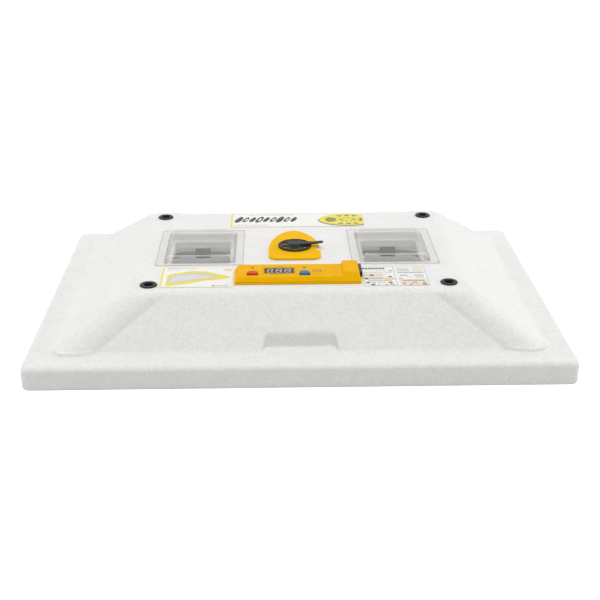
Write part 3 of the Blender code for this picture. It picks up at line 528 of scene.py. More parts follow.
COATS = {
    "foam": foam_coat(),
    "clear": clear_coat("clear_plastic", (0.83, 0.83, 0.82), 1.0, 5.4, (0.012, 0.024)),
    "clear_inner": clear_coat("clear_pane", (0.80, 0.80, 0.79), 1.0, 7.0, (0.004, 0.008)),
    # Painted shade: a matt grey-blue coat for the dark lines where the window sheets bend.
    "clear_painted_shade": clear_coat("clear_sheet_painted_shade", (0.34, 0.34, 0.39), 0.0, 3.0, (0.26, 0.36)),
    # Painted highlight: a matt light coat for the bright lines along the dome's crest and corners, and on
    # its gate mark.
    "clear_painted_highlight": clear_coat("clear_painted_highlight", (0.86, 0.86, 0.88), 0.0, 3.0, (0.32, 0.46)),
    "zinc": brushed("zinc_steel", (0.62, 0.62, 0.64), 0.34),
    "probe": brushed("probe_steel", (0.66, 0.66, 0.66), 0.26, (0.2, 0.05, 0.2)),
    "heater": brushed("heater_steel", (0.34, 0.31, 0.28), 0.48),
}
COATS.update({key: moulded(*look) for key, look in MOULDED.items()})
COATS.update({f"ink_{key}": moulded(f"ink_{key}", *look) for key, look in INKS.items()})


# -------- foam shell
def roll_axis():
    """A point on the axis of the roll in the right back corner, and its downhill direction."""
    top = np.array([*ROOF_HALF, ROOF])
    base = np.array([*SLOPE_BASE, RIM_TOP])
    downhill = (base - top) / np.linalg.norm(base - top)
    normal = np.cross((1.0, 0.0, 0.0), downhill)
    normal *= np.sign(normal[2]) / np.linalg.norm(normal)
    inward = np.cross(normal, downhill)
    inward *= -np.sign(inward[0]) / np.linalg.norm(inward)
    return top + ROLL_INSET * inward - ROLL_SINK * normal, downhill


ROLL_POINT, ROLL_DOWN = roll_axis()


def slope_of(across, z, top, base):
    """Distance above a slope that rises from base on the rim to top on the roof."""
    run, rise = base - top, ROOF - RIM_TOP
    length = math.hypot(run, rise)
    return ((across - top) * rise + (z - ROOF) * run) / length


def corner_roll(x, y, z):
    """Distance to the round roll down the corner, and to its flat oval foot."""
    px, py, pz = x - ROLL_POINT[0], y - ROLL_POINT[1], z - ROLL_POINT[2]
    along = px * ROLL_DOWN[0] + py * ROLL_DOWN[1] + pz * ROLL_DOWN[2]
    away = px * px + py * py + pz * pz - along * along
    roll = np.sqrt(np.maximum(away, 1e-12)) - ROLL_RADIUS
    roll = cut_by(roll, RIM_TOP - 0.006 - z, 0.002)
    centre = ROLL_POINT + ROLL_DOWN * ((RIM_TOP - ROLL_POINT[2]) / ROLL_DOWN[2])
    level = ROLL_DOWN[:2] / np.linalg.norm(ROLL_DOWN[:2])
    stretch = ROLL_RADIUS / abs(ROLL_DOWN[2])
    u = (x - centre[0]) * level[0] + (y - centre[1]) * level[1]
    v = (y - centre[1]) * level[0] - (x - centre[0]) * level[1]
    near = np.sqrt((u / stretch) ** 2 + (v / ROLL_RADIUS) ** 2)
    pull = np.sqrt((u / stretch**2) ** 2 + (v / ROLL_RADIUS**2) ** 2)
    oval = near * (near - 1) / np.maximum(pull, 1e-6)
    foot = cut_by(oval, z - ROLL_FOOT_TOP, 0.002)
    foot = cut_by(foot, RIM_TOP - 0.010 - z)
    return roll, foot


def finger_recess(x, y, z):
    """Notch in the long slopes, with a leaning side, above a level floor."""
    back = GRIP_BACK[1] - y
    side = (x - GRIP_BACK[0] - GRIP_SPREAD * (y - GRIP_BACK[1])) / math.hypot(1, GRIP_SPREAD)
    return cut_by(cut_by(back, side, 0.005), GRIP_FLOOR - z, 0.002)


def foam_field(x, y, z):
    """The shell: rim, raised body with a roll down each corner, then every hollow and hole."""
    ax, ay = np.abs(x), np.abs(y)
    rim = cut_by(plan(x, y, RIM_HALF, RIM_CORNER), z - RIM_TOP, RIM_EDGE)
    rim = cut_by(rim, -z, FOOT_EDGE)
    side = slope_of(ax, z, ROOF_HALF[0], SLOPE_BASE[0])
    long = slope_of(ay, z, ROOF_HALF[1], SLOPE_BASE[1])
    raised = cut_by(side, long, HIP_ROUND)
    roll, foot = corner_roll(ax, ay, z)
    fillet = 0.0008 + 0.009 * smoothstep(side - long, -0.002, 0.008)
    raised = joined(raised, roll, fillet)
    raised = cut_by(raised, z - ROOF, ROOF_ROUND)
    raised = cut_by(raised, RIM_TOP - 0.012 - z)
    raised = joined(raised, foot, 0.0015)
    shell = joined(raised, rim, 0.0035)
    shell = cut_by(shell, -finger_recess(ax, ay, z), 0.0024)

    inner_side = slope_between(ax, z, HOLLOW_ROOF[0], HOLLOW_BASE[0])
    inner_long = slope_between(ay, z, HOLLOW_ROOF[1], HOLLOW_BASE[1])
    hollow = cut_by(cut_by(inner_side, inner_long, 0.028), z - ROOF_UNDERSIDE, 0.006)
    seat = cut_by(plan(x, y, SEAT_HALF, 0.020), z - SEAT_DEPTH, 0.002)
    shell = cut_by(shell, -hollow, 0.003)
    shell = cut_by(shell, -seat, 0.002)

    left, right = middle_of("window_cover_left"), middle_of("window_cover_right")
    well_centre = ((right[0] - left[0]) / 2, right[1])
    hole = plan(ax, y, WELL_HOLE, 0.006, well_centre)
    pocket = cut_by(plan(ax, y, WELL_POCKET, 0.006, well_centre), WELL_LEDGE - z)
    shell = cut_by(shell, -np.minimum(hole, pocket), 0.0012)

    vent = middle_of("vent_bushing_back_right")
    bores = np.hypot(ax - vent[0], ay - vent[1]) - (VENT_TUBE + 2 * GAP)
    shaft = np.hypot(x - TURNER[0], y - TURNER[1]) - SHAFT_HOLE
    shell = cut_by(cut_by(shell, -bores), -shaft)
    tub_half = grown(half_of("control_base"), -TUB_INSET)
    tub = plan(x, y, tub_half, 0.004, middle_of("control_base"))
    tub = cut_by(tub, TUB_FLOOR - z)
    spout = np.hypot(x, y - SPOUT_Y) - SPOUT_HOLE
    return cut_by(cut_by(shell, -tub), -spout)


def slope_between(across, z, top, base):
    """Distance outside the hollow's slope, from the seat up to the roof's underside."""
    run, rise = base - top, ROOF_UNDERSIDE - SEAT_DEPTH
    return ((across - top) * rise + (z - ROOF_UNDERSIDE) * run) / math.hypot(run, rise)


def make_foam():
    shell = field_piece("foam_shell", foam_field, LID_LOW, LID_HIGH, FOAM_STEP, FOAM_KEEP)
    hand_over(shell, "lid", "foam", "foam", "foam_lid")


# -------- windows
SHEET_COATS = ("clear", "clear_painted_shade", "clear_painted_highlight")


def on_end(face, arc):
    """Whether a face of a band round a rounded rectangle lies on its left or right side."""
    return face % (2 * arc) == 2 * arc - 1


def make_windows():
    for side in ("left", "right"):
        node = f"window_cover_{side}"
        low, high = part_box(node)
        centre, flange = middle_of(node), half_of(node)
        seat, crown = low.z, high.z
        level = seat + FLANGE_THICKNESS
        step = level - 0.0006
        inside = crown - CLEAR_WALL
        levels, tints = [], []
        # Indices of the painted shade coat and the painted highlight coat among the sheet's coats.
        painted_shade_tint, painted_highlight_tint = 1, 2

        def add(half, radius, curve, tint="clear"):
            """Outlines grown from half by each (grow, z), and the coat of the band below each."""
            for grow, z in curve:
                levels.append((rounded(grown(half, grow), radius, centre, 6), z))
                tints.append(SHEET_COATS.index(tint))
            tints[-1] = 0

        soft, wall = 0.0016, CLEAR_WALL
        crest = -DOME_INSET + soft
        dome_top = bend((crest - 2 * soft, crown), (crest - soft, crown), (crest, crown - soft))
        dome_foot = bend((-0.0008, level + 0.0009), (0.0, level), (0.0012, level))
        # Painted highlight: the dome's rounded crest takes the light coat along its front and back edges.
        add(DOME_HALF, 0.0035, dome_top, "clear_painted_highlight")
        # Painted shade: the foot of the dome, where it bends into the flange, takes the dark edge coat.
        add(DOME_HALF, 0.005, dome_foot, "clear_painted_shade")
        add(flange, 0.004, [(-0.0044, level)])
        add(flange, 0.004, bend((-0.0042, level), (-0.0036, step), (-0.0032, step), 2))
        # Painted shade: the flange's rounded outer edge and its upright side take the dark edge coat.
        add(flange, 0.004, bend((-0.0009, step), (0.0, step), (0.0, step - 0.0007)), "clear_painted_shade")
        tints[-1] = painted_shade_tint
        add(flange, 0.004, [(0.0, seat)])
        add(DOME_HALF, 0.004, bend((-0.0008, seat), (-wall, seat), (-wall - 0.0008, seat + 0.0008)))
        top_in = -wall - DOME_INSET + 0.0006
        dome_inside = bend((top_in + soft, inside - soft), (top_in, inside), (top_in - soft, inside))
        add(DOME_HALF, 0.003, dome_inside)
        cover = lofted(levels)
        cover.faces.ensure_lookup_table()
        around, arc = len(levels[0][0]), len(levels[0][0]) // 4
        dome_wall = len(dome_top) - 1
        for band, tint in enumerate(tints[:-1]):
            for i in range(around):
                if tint == painted_highlight_tint and on_end(i, arc):
                    tint_here = 0
                elif band == dome_wall and i % arc in (2, 3):  # the middle of each corner: a painted highlight line down the dome's wall
                    tint_here = painted_highlight_tint
                else:
                    tint_here = tint
                cover.faces[2 + band * around + i].material_index = tint_here
        gate = bend((0.0018, crown - 0.0002), (0.0016, crown + 0.0004), (0.0004, crown + 0.0004))
        before = len(cover.faces)  # the round mark in the middle of the dome, given the painted highlight coat
        turned(gate, centre, 20, shape=cover)
        cover.faces.ensure_lookup_table()
        for face in cover.faces[before:]:
            face.material_index = painted_highlight_tint
        sheet = piece_of(node + "_sheet", cover, 30)
        for coat in SHEET_COATS:
            sheet.data.materials.append(COATS[coat])
        hand_over(sheet, "lid", "clear_plastic", None, node)


# -------- vents
def make_vents():
    for along, across in itertools.product(("front", "back"), ("left", "right")):
        node = f"vent_bushing_{along}_{across}"
        low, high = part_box(node)
        flange, seat, top = half_of(node)[0], ROOF + GAP, high.z
        soft = 0.0006
        profile = [(VENT_BORE, low.z + soft), (VENT_BORE + soft, low.z), (VENT_TUBE - soft, low.z)]
        profile += [(VENT_TUBE, low.z + soft), (VENT_TUBE, seat), (flange - 0.0003, seat)]
        profile += bend((flange, seat + 0.0004), (flange - 0.0002, top - 0.0001), (flange - 0.0017, top), 5)
        profile += bend((VENT_BORE + 0.0022, top), (VENT_BORE + 0.0002, top), (VENT_BORE, top - 0.0020), 5)
        bushing = piece_of(node + "_ring", turned(profile, middle_of(node), 56, ring=True), 40)
        hand_over(bushing, "lid", "black_plastic", "black", node)


# -------- control unit
def cover_body(x, y, z, left, right, top, inset, lean_left):
    """One raised body of the cover: sloping front and left end, nearly upright back and right."""
    rise = top + inset - COVER_FOOT
    climbed = z - COVER_FOOT
    front = (COVER_FRONT + inset - y + climbed) / math.sqrt(2)
    back = y - (COVER_BACK - inset - 0.0010 * climbed / rise)
    west = left + inset + lean_left * climbed / rise - x
    east = x - (right - inset - 0.0022 * climbed / rise)
    corner = 0.003
    walls = cut_by(cut_by(cut_by(front, back, 0.0), west, corner), east, corner)
    walls = np.maximum(walls, cut_by(back, west, corner))
    return cut_by(walls, z - top, 0.0011 if inset == 0 else 0.0)


def button_field(x, y, plan_of):
    """Distance to a button's outline: straight front, round back corners."""
    middle, half, front, back, radius = plan_of
    extent = (half, (back - front) / 2 + radius)
    return np.maximum(plan(x, y, extent, radius, (middle, (back + front) / 2 - radius)), front - y)


BUTTONS = {  # middle, half width, front, back, radius of the back corners
    "red": (-0.0668, 0.0077, -0.1396, -0.1276, 0.0045),
    "blue": (0.0085, 0.0074, -0.1405, -0.1270, 0.0062),
}


def cover_field(x, y, z):
    low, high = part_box("control_cover")
    wall = 0.002
    outer, inner = (
        [
            cover_body(x, y, z, left, high.x, top - inset, inset, lean)
            for left, top, lean in ((low.x, PANEL_TOP, 0.0052), (BLOCK_LEFT, high.z, 0.0012))
        ]
        for inset in (0.0, wall)
    )
    outer, inner = joined(*outer, 0.0008), np.minimum(*inner)
    shell = np.maximum(np.maximum(outer, -inner), COVER_FOOT - z)
    hole = plan(x, y, grown(PANE_HALF, GAP), 0.001, middle_of("display_window"))
    for outline in BUTTONS.values():
        hole = np.minimum(hole, button_field(x, y, outline) - 0.0004)
        hole = np.minimum(hole, np.hypot(x - outline[0], y - LED_Y) - 0.0020)
    hole = np.maximum(hole, PANEL_TOP - 0.006 - z)
    shell = cut_by(shell, -hole, 0.0003)
    low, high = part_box("mains_inlet")
    centre = ((low.y + high.y) / 2, (low.z + high.z) / 2)
    extent = grown(((high.y - low.y) / 2, (high.z - low.z) / 2), GAP)
    socket = np.maximum(plan(y, z, extent, 0.0004, centre), low.x - 0.0015 - x)
    return cut_by(shell, -socket, 0.0002)


def button_outline(plan_of, grow):
    middle, half, front, back, radius = plan_of
    points = [(middle - half - grow, front - grow), (middle + half + grow, front - grow)]
    for side, start in ((1, 0), (-1, 90)):
        corner_x = middle + side * (half - radius)
        for step in range(11):
            angle = math.radians(start + 9 * step)
            across, along = (radius + grow) * math.cos(angle), (radius + grow) * math.sin(angle)
            points.append((corner_x + across, back - radius + along))
    return points


def make_control_unit():
    low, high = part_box("control_cover")
    cover = field_piece("control_cover_shell", cover_field, low, high, FINE_STEP, 0.35)
    hand_over(cover, "lid", "yellow_plastic", "yellow", "control_cover")

    low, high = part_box("control_base")
    centre, half = middle_of("control_base"), half_of("control_base")
    wall, seat = 0.0075, ROOF + GAP
    profile = [(-wall, TUB_FLOOR + GAP), (-wall, seat), (-0.0002, seat)]
    profile += bend((0.0, seat + 0.0003), (0.0, high.z), (-0.0009, high.z))
    levels = [(rounded(grown(half, grow), 0.004, centre), z) for grow, z in profile]
    inner = rounded(grown(half, -wall - 0.002), 0.003, centre)
    base = lofted([*levels, (inner, high.z), (inner, TUB_FLOOR + 0.0023)])
    top = TUB_FLOOR + 0.001
    spout = [(0.0055, low.z), (0.0072, low.z), (0.0075, low.z + 0.0004), (0.0075, top), (0.0055, top)]
    turned(spout, (0.0, SPOUT_Y), 40, ring=True, shape=base)
    tray = piece_of("control_base_tray", base)
    hand_over(tray, "lid", "yellow_plastic", "yellow", "control_base")

    for colour, outline in BUTTONS.items():
        node = f"{colour}_button"
        low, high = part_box(node)
        profile = [(0.0012, low.z), (0.0012, LIP), (0.0, LIP)]
        profile += bend((0.0, high.z - 0.0013), (0.0, high.z), (-0.0013, high.z), 5)
        levels = [(button_outline(outline, grow), z) for grow, z in profile]
        cap = piece_of(f"{colour}_button_cap", lofted(levels), 40)
        hand_over(cap, node, f"{colour}_plastic", colour, node)

    for side, (middle, *_) in zip(("left", "right"), BUTTONS.values()):
        node = f"indicator_{side}"
        low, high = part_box(node)
        collar = low.z + 0.0012
        profile = [(0.0019, low.z), (0.0019, collar), (0.0016, collar), (0.0016, PANEL_TOP - 0.0002)]
        profile += bend((0.0016, PANEL_TOP), (0.0014, high.z), (0.0002, high.z), 5)
        lamp = piece_of(f"{node}_lens", turned(profile, (middle, LED_Y), 24), 40)
        hand_over(lamp, "lid", "indicator_amber", "lamp", node)


def make_display():
    """Smoked window with three seven-segment digits just under its face."""
    low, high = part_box("display_window")
    centre = middle_of("display_window")
    face = high.z
    profile = [(0.0020, low.z), (0.0020, LIP), (0.0, LIP)]
    profile += bend((0.0, face - 0.0005), (0.0, face), (-0.0005, face), 3)
    levels = [(rounded(grown(PANE_HALF, grow), 0.001, centre, 3), z) for grow, z in profile]
    pane = piece_of("display_pane", lofted(levels), 40)
    hand_over(pane, "lid", "smoked_window", "smoke", "display_window")

    tall, wide, stroke, slant = 0.0070, 0.0033, 0.0013, 0.14
    ink = Print(face)
    for digit in (-1, 0, 1):
        x0, y0 = centre[0] + 0.0128 * digit - 0.0007, centre[1]

        def bar(x, y, dx, dy):
            """One segment with pointed ends, centred on (x, y) and half as long as (dx, dy)."""
            length = math.hypot(dx, dy)
            ux, uy = dx / length, dy / length
            w = stroke / 2
            tip = [(length - w, -w), (length, 0), (length - w, w)]
            corners = tip + [(-a, -b) for a, b in tip]
            placed = [(x + a * ux - b * uy, y + a * uy + b * ux) for a, b in corners]
            ink.slab("digit", [(x0 + px + slant * py, y0 + py) for px, py in placed])

        for level in (-1, 0, 1):
            bar(0.0, level * tall, wide - 0.0003, 0.0)
        for x, level in itertools.product((-wide, wide), (-0.5, 0.5)):
            bar(x, level * tall, 0.0, tall / 2 - 0.0003)
        ink.slab("digit", circle(0.0008, (x0 + wide + 0.0020 - slant * tall, y0 - tall), 12))
    ink.finish("display_digits", "lid")


# -------- ink
class Print:
    """Flat shapes of ink on a level face, each a thin closed slab."""

    def __init__(self, level):
        self.level = level
        self.shape = bmesh.new()
        self.inks = []

    def slab(self, ink, outline, layer=0):
        if ink not in self.inks:
            self.inks.append(ink)
        low = self.level + 0.00001 + layer * INK
        before = len(self.shape.faces)
        lofted([(outline, low), (outline, low + INK)], shape=self.shape)
        self.shape.faces.ensure_lookup_table()
        for face in self.shape.faces[before:]:
            face.material_index = self.inks.index(ink)

    def bar(self, ink, x0, y0, x1, y1, layer=0):
        self.slab(ink, [(x0, y0), (x1, y0), (x1, y1), (x0, y1)], layer)

    def frame(self, ink, x0, y0, x1, y1, width, layer=0):
        self.bar(ink, x0, y0, x1, y0 + width, layer)
        self.bar(ink, x0, y1 - width, x1, y1, layer)
        self.bar(ink, x0, y0 + width, x0 + width, y1 - width, layer)
        self.bar(ink, x1 - width, y0 + width, x1, y1 - width, layer)

    def dashes(self, ink, x0, x1, y0, y1, count, layer=0):
        """A row of short bars, as small print looks from afar."""
        pitch = (x1 - x0) / count
        for start in (x0 + pitch * i for i in range(count)):
            self.bar(ink, start, y0, start + 0.74 * pitch, y1, layer)

    def arc(self, ink, centre, inner, outer, start, end, squash=1.0, steps=12, layer=0):
        angles = [math.radians(start + (end - start) * i / steps) for i in range(steps + 1)]
        points = []
        for radius, way in ((outer, angles), (inner, angles[::-1])):
            for a in way:
                x, y = radius * math.cos(a), squash * radius * math.sin(a)
                points.append((centre[0] + x, centre[1] + y))
        self.slab(ink, points, layer)

    def finish(self, name, body):
        piece = piece_of(name, self.shape, 30)
        for ink in self.inks:
            piece.data.materials.append(COATS[ink])
        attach(piece, body)
        return piece


def egg(centre, tall, lean=0.0, slim=1.0, steps=20):
    """Outline of an egg that stands on its round end."""
    points = []
    for angle in turns(steps):
        y = math.sin(angle)
        x = 0.74 * slim * math.cos(angle) * (1 - 0.16 * y)
        points.append((centre[0] + tall * (x + lean * y) / 2, centre[1] + tall * y / 2))
    return points


def print_cover():
    """Small printed marks on the control unit's top: bars, dots and a pair of arcs."""
    ink = Print(PANEL_TOP)
    x, y = middle_of("display_window")
    ink.frame("ink_brown", x - 0.0228, y - 0.0122, x + 0.0228, y + 0.0122, 0.0006)
    ink.dashes("ink_brown", x - 0.0078, x + 0.0078, y + 0.0140, y + 0.0158, 6)
    ink.dashes("ink_brown", x - 0.0125, x + 0.0145, y - 0.0156, y - 0.0142, 7)
    mark = (0.0262, -0.1240)
    ink.arc("ink_brown", mark, 0.0058, 0.0070, -95, 100)
    ink.arc("ink_brown", mark, 0.0030, 0.0040, -90, 85)
    x, y = mark
    ink.frame("ink_brown", x - 0.0068, y - 0.0040, x - 0.0016, y + 0.0044, 0.0009)
    ink.bar("ink_brown", x - 0.0004, y - 0.0022, x + 0.0010, y + 0.0022)
    for angle in (-48, -24, 0, 24, 48):
        turn = math.radians(angle)
        spot = (x + 0.0130 * math.cos(turn), y + 0.0125 * math.sin(turn))
        ink.slab("ink_brown", circle(0.0008, spot, 8))
    ink.finish("cover_marks", "lid")


def film(kind):
    """Label film: a thin sheet with round corners and a soft edge."""
    name = f"{kind}_label"
    low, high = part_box(name)
    centre, half, edge = middle_of(name), half_of(name), 0.0001
    outline = rounded(half, 0.0015, centre, 4)
    top = rounded(grown(half, -edge), 0.0014, centre, 4)
    sheet = lofted([(outline, low.z), (outline, high.z - edge), (top, high.z)])
    sheet = piece_of(name + "_film", sheet, 40)
    hand_over(sheet, "lid", f"label_{kind}", "film", name)
    return low, high


def print_back_label():
    low, high = film("back")
    ink = Print(high.z)
    edge = 0.0012
    ink.bar("ink_yellow", low.x + edge, low.y + edge, low.x + 0.0046, high.y - edge)
    ink.bar("ink_sand", low.x + 0.0046, low.y + edge, high.x - edge, low.y + edge + 0.0014)
    ink.bar("ink_sand", low.x + 0.0046, high.y - edge - 0.0014, high.x - edge, high.y - edge)
    middle = (low.y + high.y) / 2
    for i in range(9):
        spot = (low.x + 0.0150 + 0.0113 * i, middle + 0.0030)
        tall = 0.0310 if i % 3 == 0 else 0.0250
        ink.slab("ink_black", egg(spot, tall, 0.30, 0.46))
        if i % 2:
            ink.slab("film", egg((spot[0] + 0.0006, spot[1]), tall * 0.50, 0.30, 0.34), 1)
    ink.dashes("ink_red", low.x + 0.0095, low.x + 0.0640, low.y + 0.0075, low.y + 0.0098, 12)
    ink.dashes("ink_grey", low.x + 0.0330, low.x + 0.1060, high.y - 0.0085, high.y - 0.0066, 16)

    hub = (high.x - 0.0267, middle)
    wide, deep, edge_x = 0.0490, 0.0305, high.x - 0.0008

    def oval(colour, scale, drop, layer):
        """An oval of the egg tray, cut off where the label ends."""
        points = [
            (hub[0] + scale * wide * math.cos(t), hub[1] - drop + scale * deep * math.sin(t))
            for t in turns(48)
        ]
        ink.slab(colour, [(min(x, edge_x), y) for x, y in points], layer)

    oval("ink_olive", 1.0, 0.0020, 0)
    oval("ink_yellow", 0.97, -0.0012, 1)
    squash = deep / wide
    for start, end in ((148, 212), (-32, 32)):
        outer = 0.0370 if start > 0 else 0.0255
        for step in range(6):
            first = start + (end - start) * step / 6
            ink.arc("ink_olive", hub, 0.0200, outer, first, first + 8.6, squash, 3, 2)
    for start in (62, 84, 106, 242, 264, 286):
        ink.arc("ink_olive", hub, 0.0290, 0.0375, start, start + 13, squash, 3, 2)
    for i in range(10):
        ink.arc("ink_olive", hub, 0.0095, 0.0150, 36 * i, 36 * i + 17, squash, 3, 2)
    ink.finish("back_label_print", "lid")


def print_chart_label():
    low, high = film("chart")
    ink = Print(high.z)
    edge = 0.0010
    width, height = high.x - low.x, high.y - low.y

    def at(points):
        return [(low.x + u * width, low.y + v * height) for u, v in points]

    ink.frame("ink_yellow", low.x + edge, low.y + edge, high.x - edge, high.y - edge, 0.0009)
    ink.bar("ink_yellow", low.x + edge + 0.0009, low.y + 0.0024, low.x + 0.0034, high.y - 0.0024)
    ink.dashes("ink_grey", low.x + 0.0090, low.x + 0.0245, high.y - 0.0078, high.y - 0.0052, 5)
    ink.dashes("ink_grey", low.x + 0.0255, low.x + 0.0500, high.y - 0.0070, high.y - 0.0056, 8)
    ink.dashes("ink_sand", low.x + 0.0080, low.x + 0.0270, high.y - 0.0145, high.y - 0.0120, 6)
    above = [(0.09, 0.60), (0.16, 0.66), (0.30, 0.74), (0.42, 0.80)]
    above += [(0.62, 0.77), (0.80, 0.62), (0.96, 0.49)]
    below = [(0.96, 0.45), (0.78, 0.34), (0.62, 0.33), (0.48, 0.22)]
    below += [(0.32, 0.13), (0.19, 0.09), (0.09, 0.05)]
    ink.slab("ink_yellow", at(above + below))
    inner = [(u, v - 0.10) for u, v in above[:-1]] + [(u, v + 0.14) for u, v in below[1:]]
    ink.slab("ink_pale", at([(u + (0.035 if u < 0.1 else 0.0), v) for u, v in inner]), 1)
    for i in range(13):
        share = i / 12
        u, foot = 0.15 + 0.50 * share, 0.24 + 0.24 * share
        head = 0.50 + 0.12 * math.sin(3.0 * share)
        ink.slab("film", at([(u, foot), (u + 0.014, foot), (u + 0.044, head), (u + 0.030, head)]), 2)
    ink.slab("ink_orange", at([(0.46, 0.24), (0.62, 0.35), (0.76, 0.36), (0.72, 0.40), (0.58, 0.41)]), 2)
    badge = at([(0.915, 0.86)])[0]
    ink.arc("ink_red", badge, 0.0044, 0.0062, 180, 360, 1.0, 12)
    ink.arc("ink_sand", badge, 0.0044, 0.0062, 0, 180, 1.0, 12)
    ink.slab("ink_orange", egg(badge, 0.0060))
    ink.bar("ink_black", high.x - 0.0300, low.y + 0.0036, high.x - 0.0262, low.y + 0.0066)
    ink.dashes("ink_grey", high.x - 0.0240, high.x - 0.0060, low.y + 0.0040, low.y + 0.0062, 6)
    ink.finish("chart_label_print", "lid")


TABLE_ROWS = (  # ink, foot and height and ends as shares of the label, number of marks
    ("ink_black", 0.84, 0.08, 0.02, 0.38, 8), ("ink_pale", 0.75, 0.03, 0.23, 0.40, 4),
    ("ink_grey", 0.73, 0.06, 0.43, 0.48, 2), ("ink_pale", 0.63, 0.04, 0.03, 0.47, 11),
    ("ink_black", 0.50, 0.06, 0.12, 0.20, 1), ("ink_pale", 0.51, 0.05, 0.03, 0.10, 2),
    ("ink_pale", 0.51, 0.04, 0.22, 0.38, 4), ("ink_black", 0.43, 0.05, 0.40, 0.47, 1),
    ("ink_black", 0.33, 0.06, 0.03, 0.11, 1), ("ink_grey", 0.34, 0.05, 0.12, 0.32, 5),
    ("ink_grey", 0.22, 0.04, 0.08, 0.44, 8), ("ink_black", 0.12, 0.06, 0.04, 0.12, 1),
    ("ink_grey", 0.13, 0.04, 0.13, 0.19, 2), ("ink_green", 0.13, 0.04, 0.22, 0.35, 3),
    ("ink_black", 0.12, 0.06, 0.38, 0.46, 1), ("ink_black", 0.03, 0.06, 0.11, 0.19, 1),
    ("ink_pale", 0.03, 0.05, 0.20, 0.26, 1), ("ink_red", 0.03, 0.05, 0.32, 0.38, 1),
    ("ink_grey", 0.03, 0.06, 0.40, 0.47, 2), ("ink_pale", 0.72, 0.17, 0.55, 0.75, 7),
    ("ink_grey", 0.62, 0.05, 0.55, 0.96, 11), ("ink_grey", 0.48, 0.05, 0.58, 0.70, 4),
    ("ink_grey", 0.48, 0.05, 0.80, 0.95, 4), ("ink_pale", 0.40, 0.04, 0.68, 0.77, 2),
    ("ink_grey", 0.39, 0.04, 0.82, 0.94, 4), ("ink_grey", 0.33, 0.05, 0.55, 0.62, 2),
    ("ink_olive", 0.23, 0.04, 0.60, 0.94, 9), ("ink_red", 0.06, 0.10, 0.59, 0.66, 1),
    ("ink_olive", 0.12, 0.05, 0.74, 0.82, 2), ("ink_olive", 0.12, 0.05, 0.90, 0.95, 1),
    ("ink_grey", 0.03, 0.05, 0.69, 0.75, 1), ("ink_orange", 0.03, 0.06, 0.80, 0.87, 1),
    ("ink_black", 0.03, 0.06, 0.89, 0.96, 2),
)
TABLE_CELLS = (
    ("ink_sand", 0.02, 0.31, 0.32, 0.60), ("ink_orange", 0.33, 0.30, 0.485, 0.41),
    ("ink_sand", 0.79, 0.72, 0.96, 0.94), ("ink_sand", 0.55, 0.03, 0.97, 0.30),
)


def print_table_label():
    low, high = film("table")
    ink = Print(high.z)
    line = 0.0007
    width, height = high.x - low.x, high.y - low.y

    def at(u, v):
        return low.x + u * width, low.y + v * height

    for colour, u0, v0, u1, v1 in TABLE_CELLS:
        ink.bar(colour, *at(u0, v0), *at(u1, v1))
    x0, y0 = at(0.010, 0.015)
    x1, y1 = at(0.990, 0.985)
    ink.frame("ink_grey", x0, y0, x1, y1, line, 1)
    middle = at(0.500, 0.0)[0]
    ink.bar("ink_grey", middle, y0 + line, middle + line, y1 - line, 1)
    left, right = (x0, middle), (middle, x1)
    for v, (start, end) in ((0.70, left), (0.285, left), (0.70, right), (0.31, right)):
        level = at(0.0, v)[1]
        ink.bar("ink_pale", start + line, level, end, level + line, 1)
    for colour, foot, tall, u0, u1, count in TABLE_ROWS:
        (start, bottom), (end, top) = at(u0, foot), at(u1, foot + tall)
        ink.dashes(colour, start, end, bottom, top, count, 2)
    ink.finish("table_label_print", "lid")


# -------- turning lever
def make_turner():
    make_plate()
    low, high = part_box("turner_dial")
    dial = field_piece("turner_dial_moulding", dial_field, low, high, FINE_STEP * 0.8, 0.5)
    hand_over(dial, "turner", "dial_black", "dial", "turner_dial")


def plate_outline():
    """Egg shape with a flat front edge, widest near the front."""
    half, widest, back, front, corner = 0.0397, -0.015, 0.073, -0.056, 0.014
    right = []
    for step in range(9):
        angle = math.radians(-90 + 90 * step / 8)
        x, y = half - corner + corner * math.cos(angle), front + corner + corner * math.sin(angle)
        right.append((x, y))
    for step in range(1, 33):
        t = math.sin(math.radians(90 * step / 32))
        right.append((half * (1 - t * t) ** 0.6, widest + t * (back - widest)))
    left = [(-x, y) for x, y in reversed(right[:-1])]
    return [(x - 0.0037, y) for x, y in right + left]


def make_plate():
    low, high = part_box("turner_plate")
    outline = plate_outline()
    plate = piece_of("turner_plate_sheet", lofted([(outline, low.z), (outline, high.z)]), 30)
    bite = [(0.0400 + 0.0125 * x, -0.0085 + 0.0135 * y) for x, y in circle(1.0, steps=48)]
    cutters = []
    for number, hole in enumerate((bite, circle(0.0056, TURNER, 32))):
        shape = lofted([(hole, low.z - 0.01), (hole, high.z + 0.01)])
        cutter = piece_of(f"plate_cutter_{number}", shape)
        cutters.append(cutter)
        cut = plate.modifiers.new(cutter.name, "BOOLEAN")
        cut.operation = "DIFFERENCE"
        cut.object = cutter
    apply_modifiers(plate)
    for cutter in cutters:
        bpy.data.objects.remove(cutter)
    round_edges(plate, 0.0007, 3, 60)
    hand_over(plate, "lid", "plate_yellow", "plate", "turner_plate")


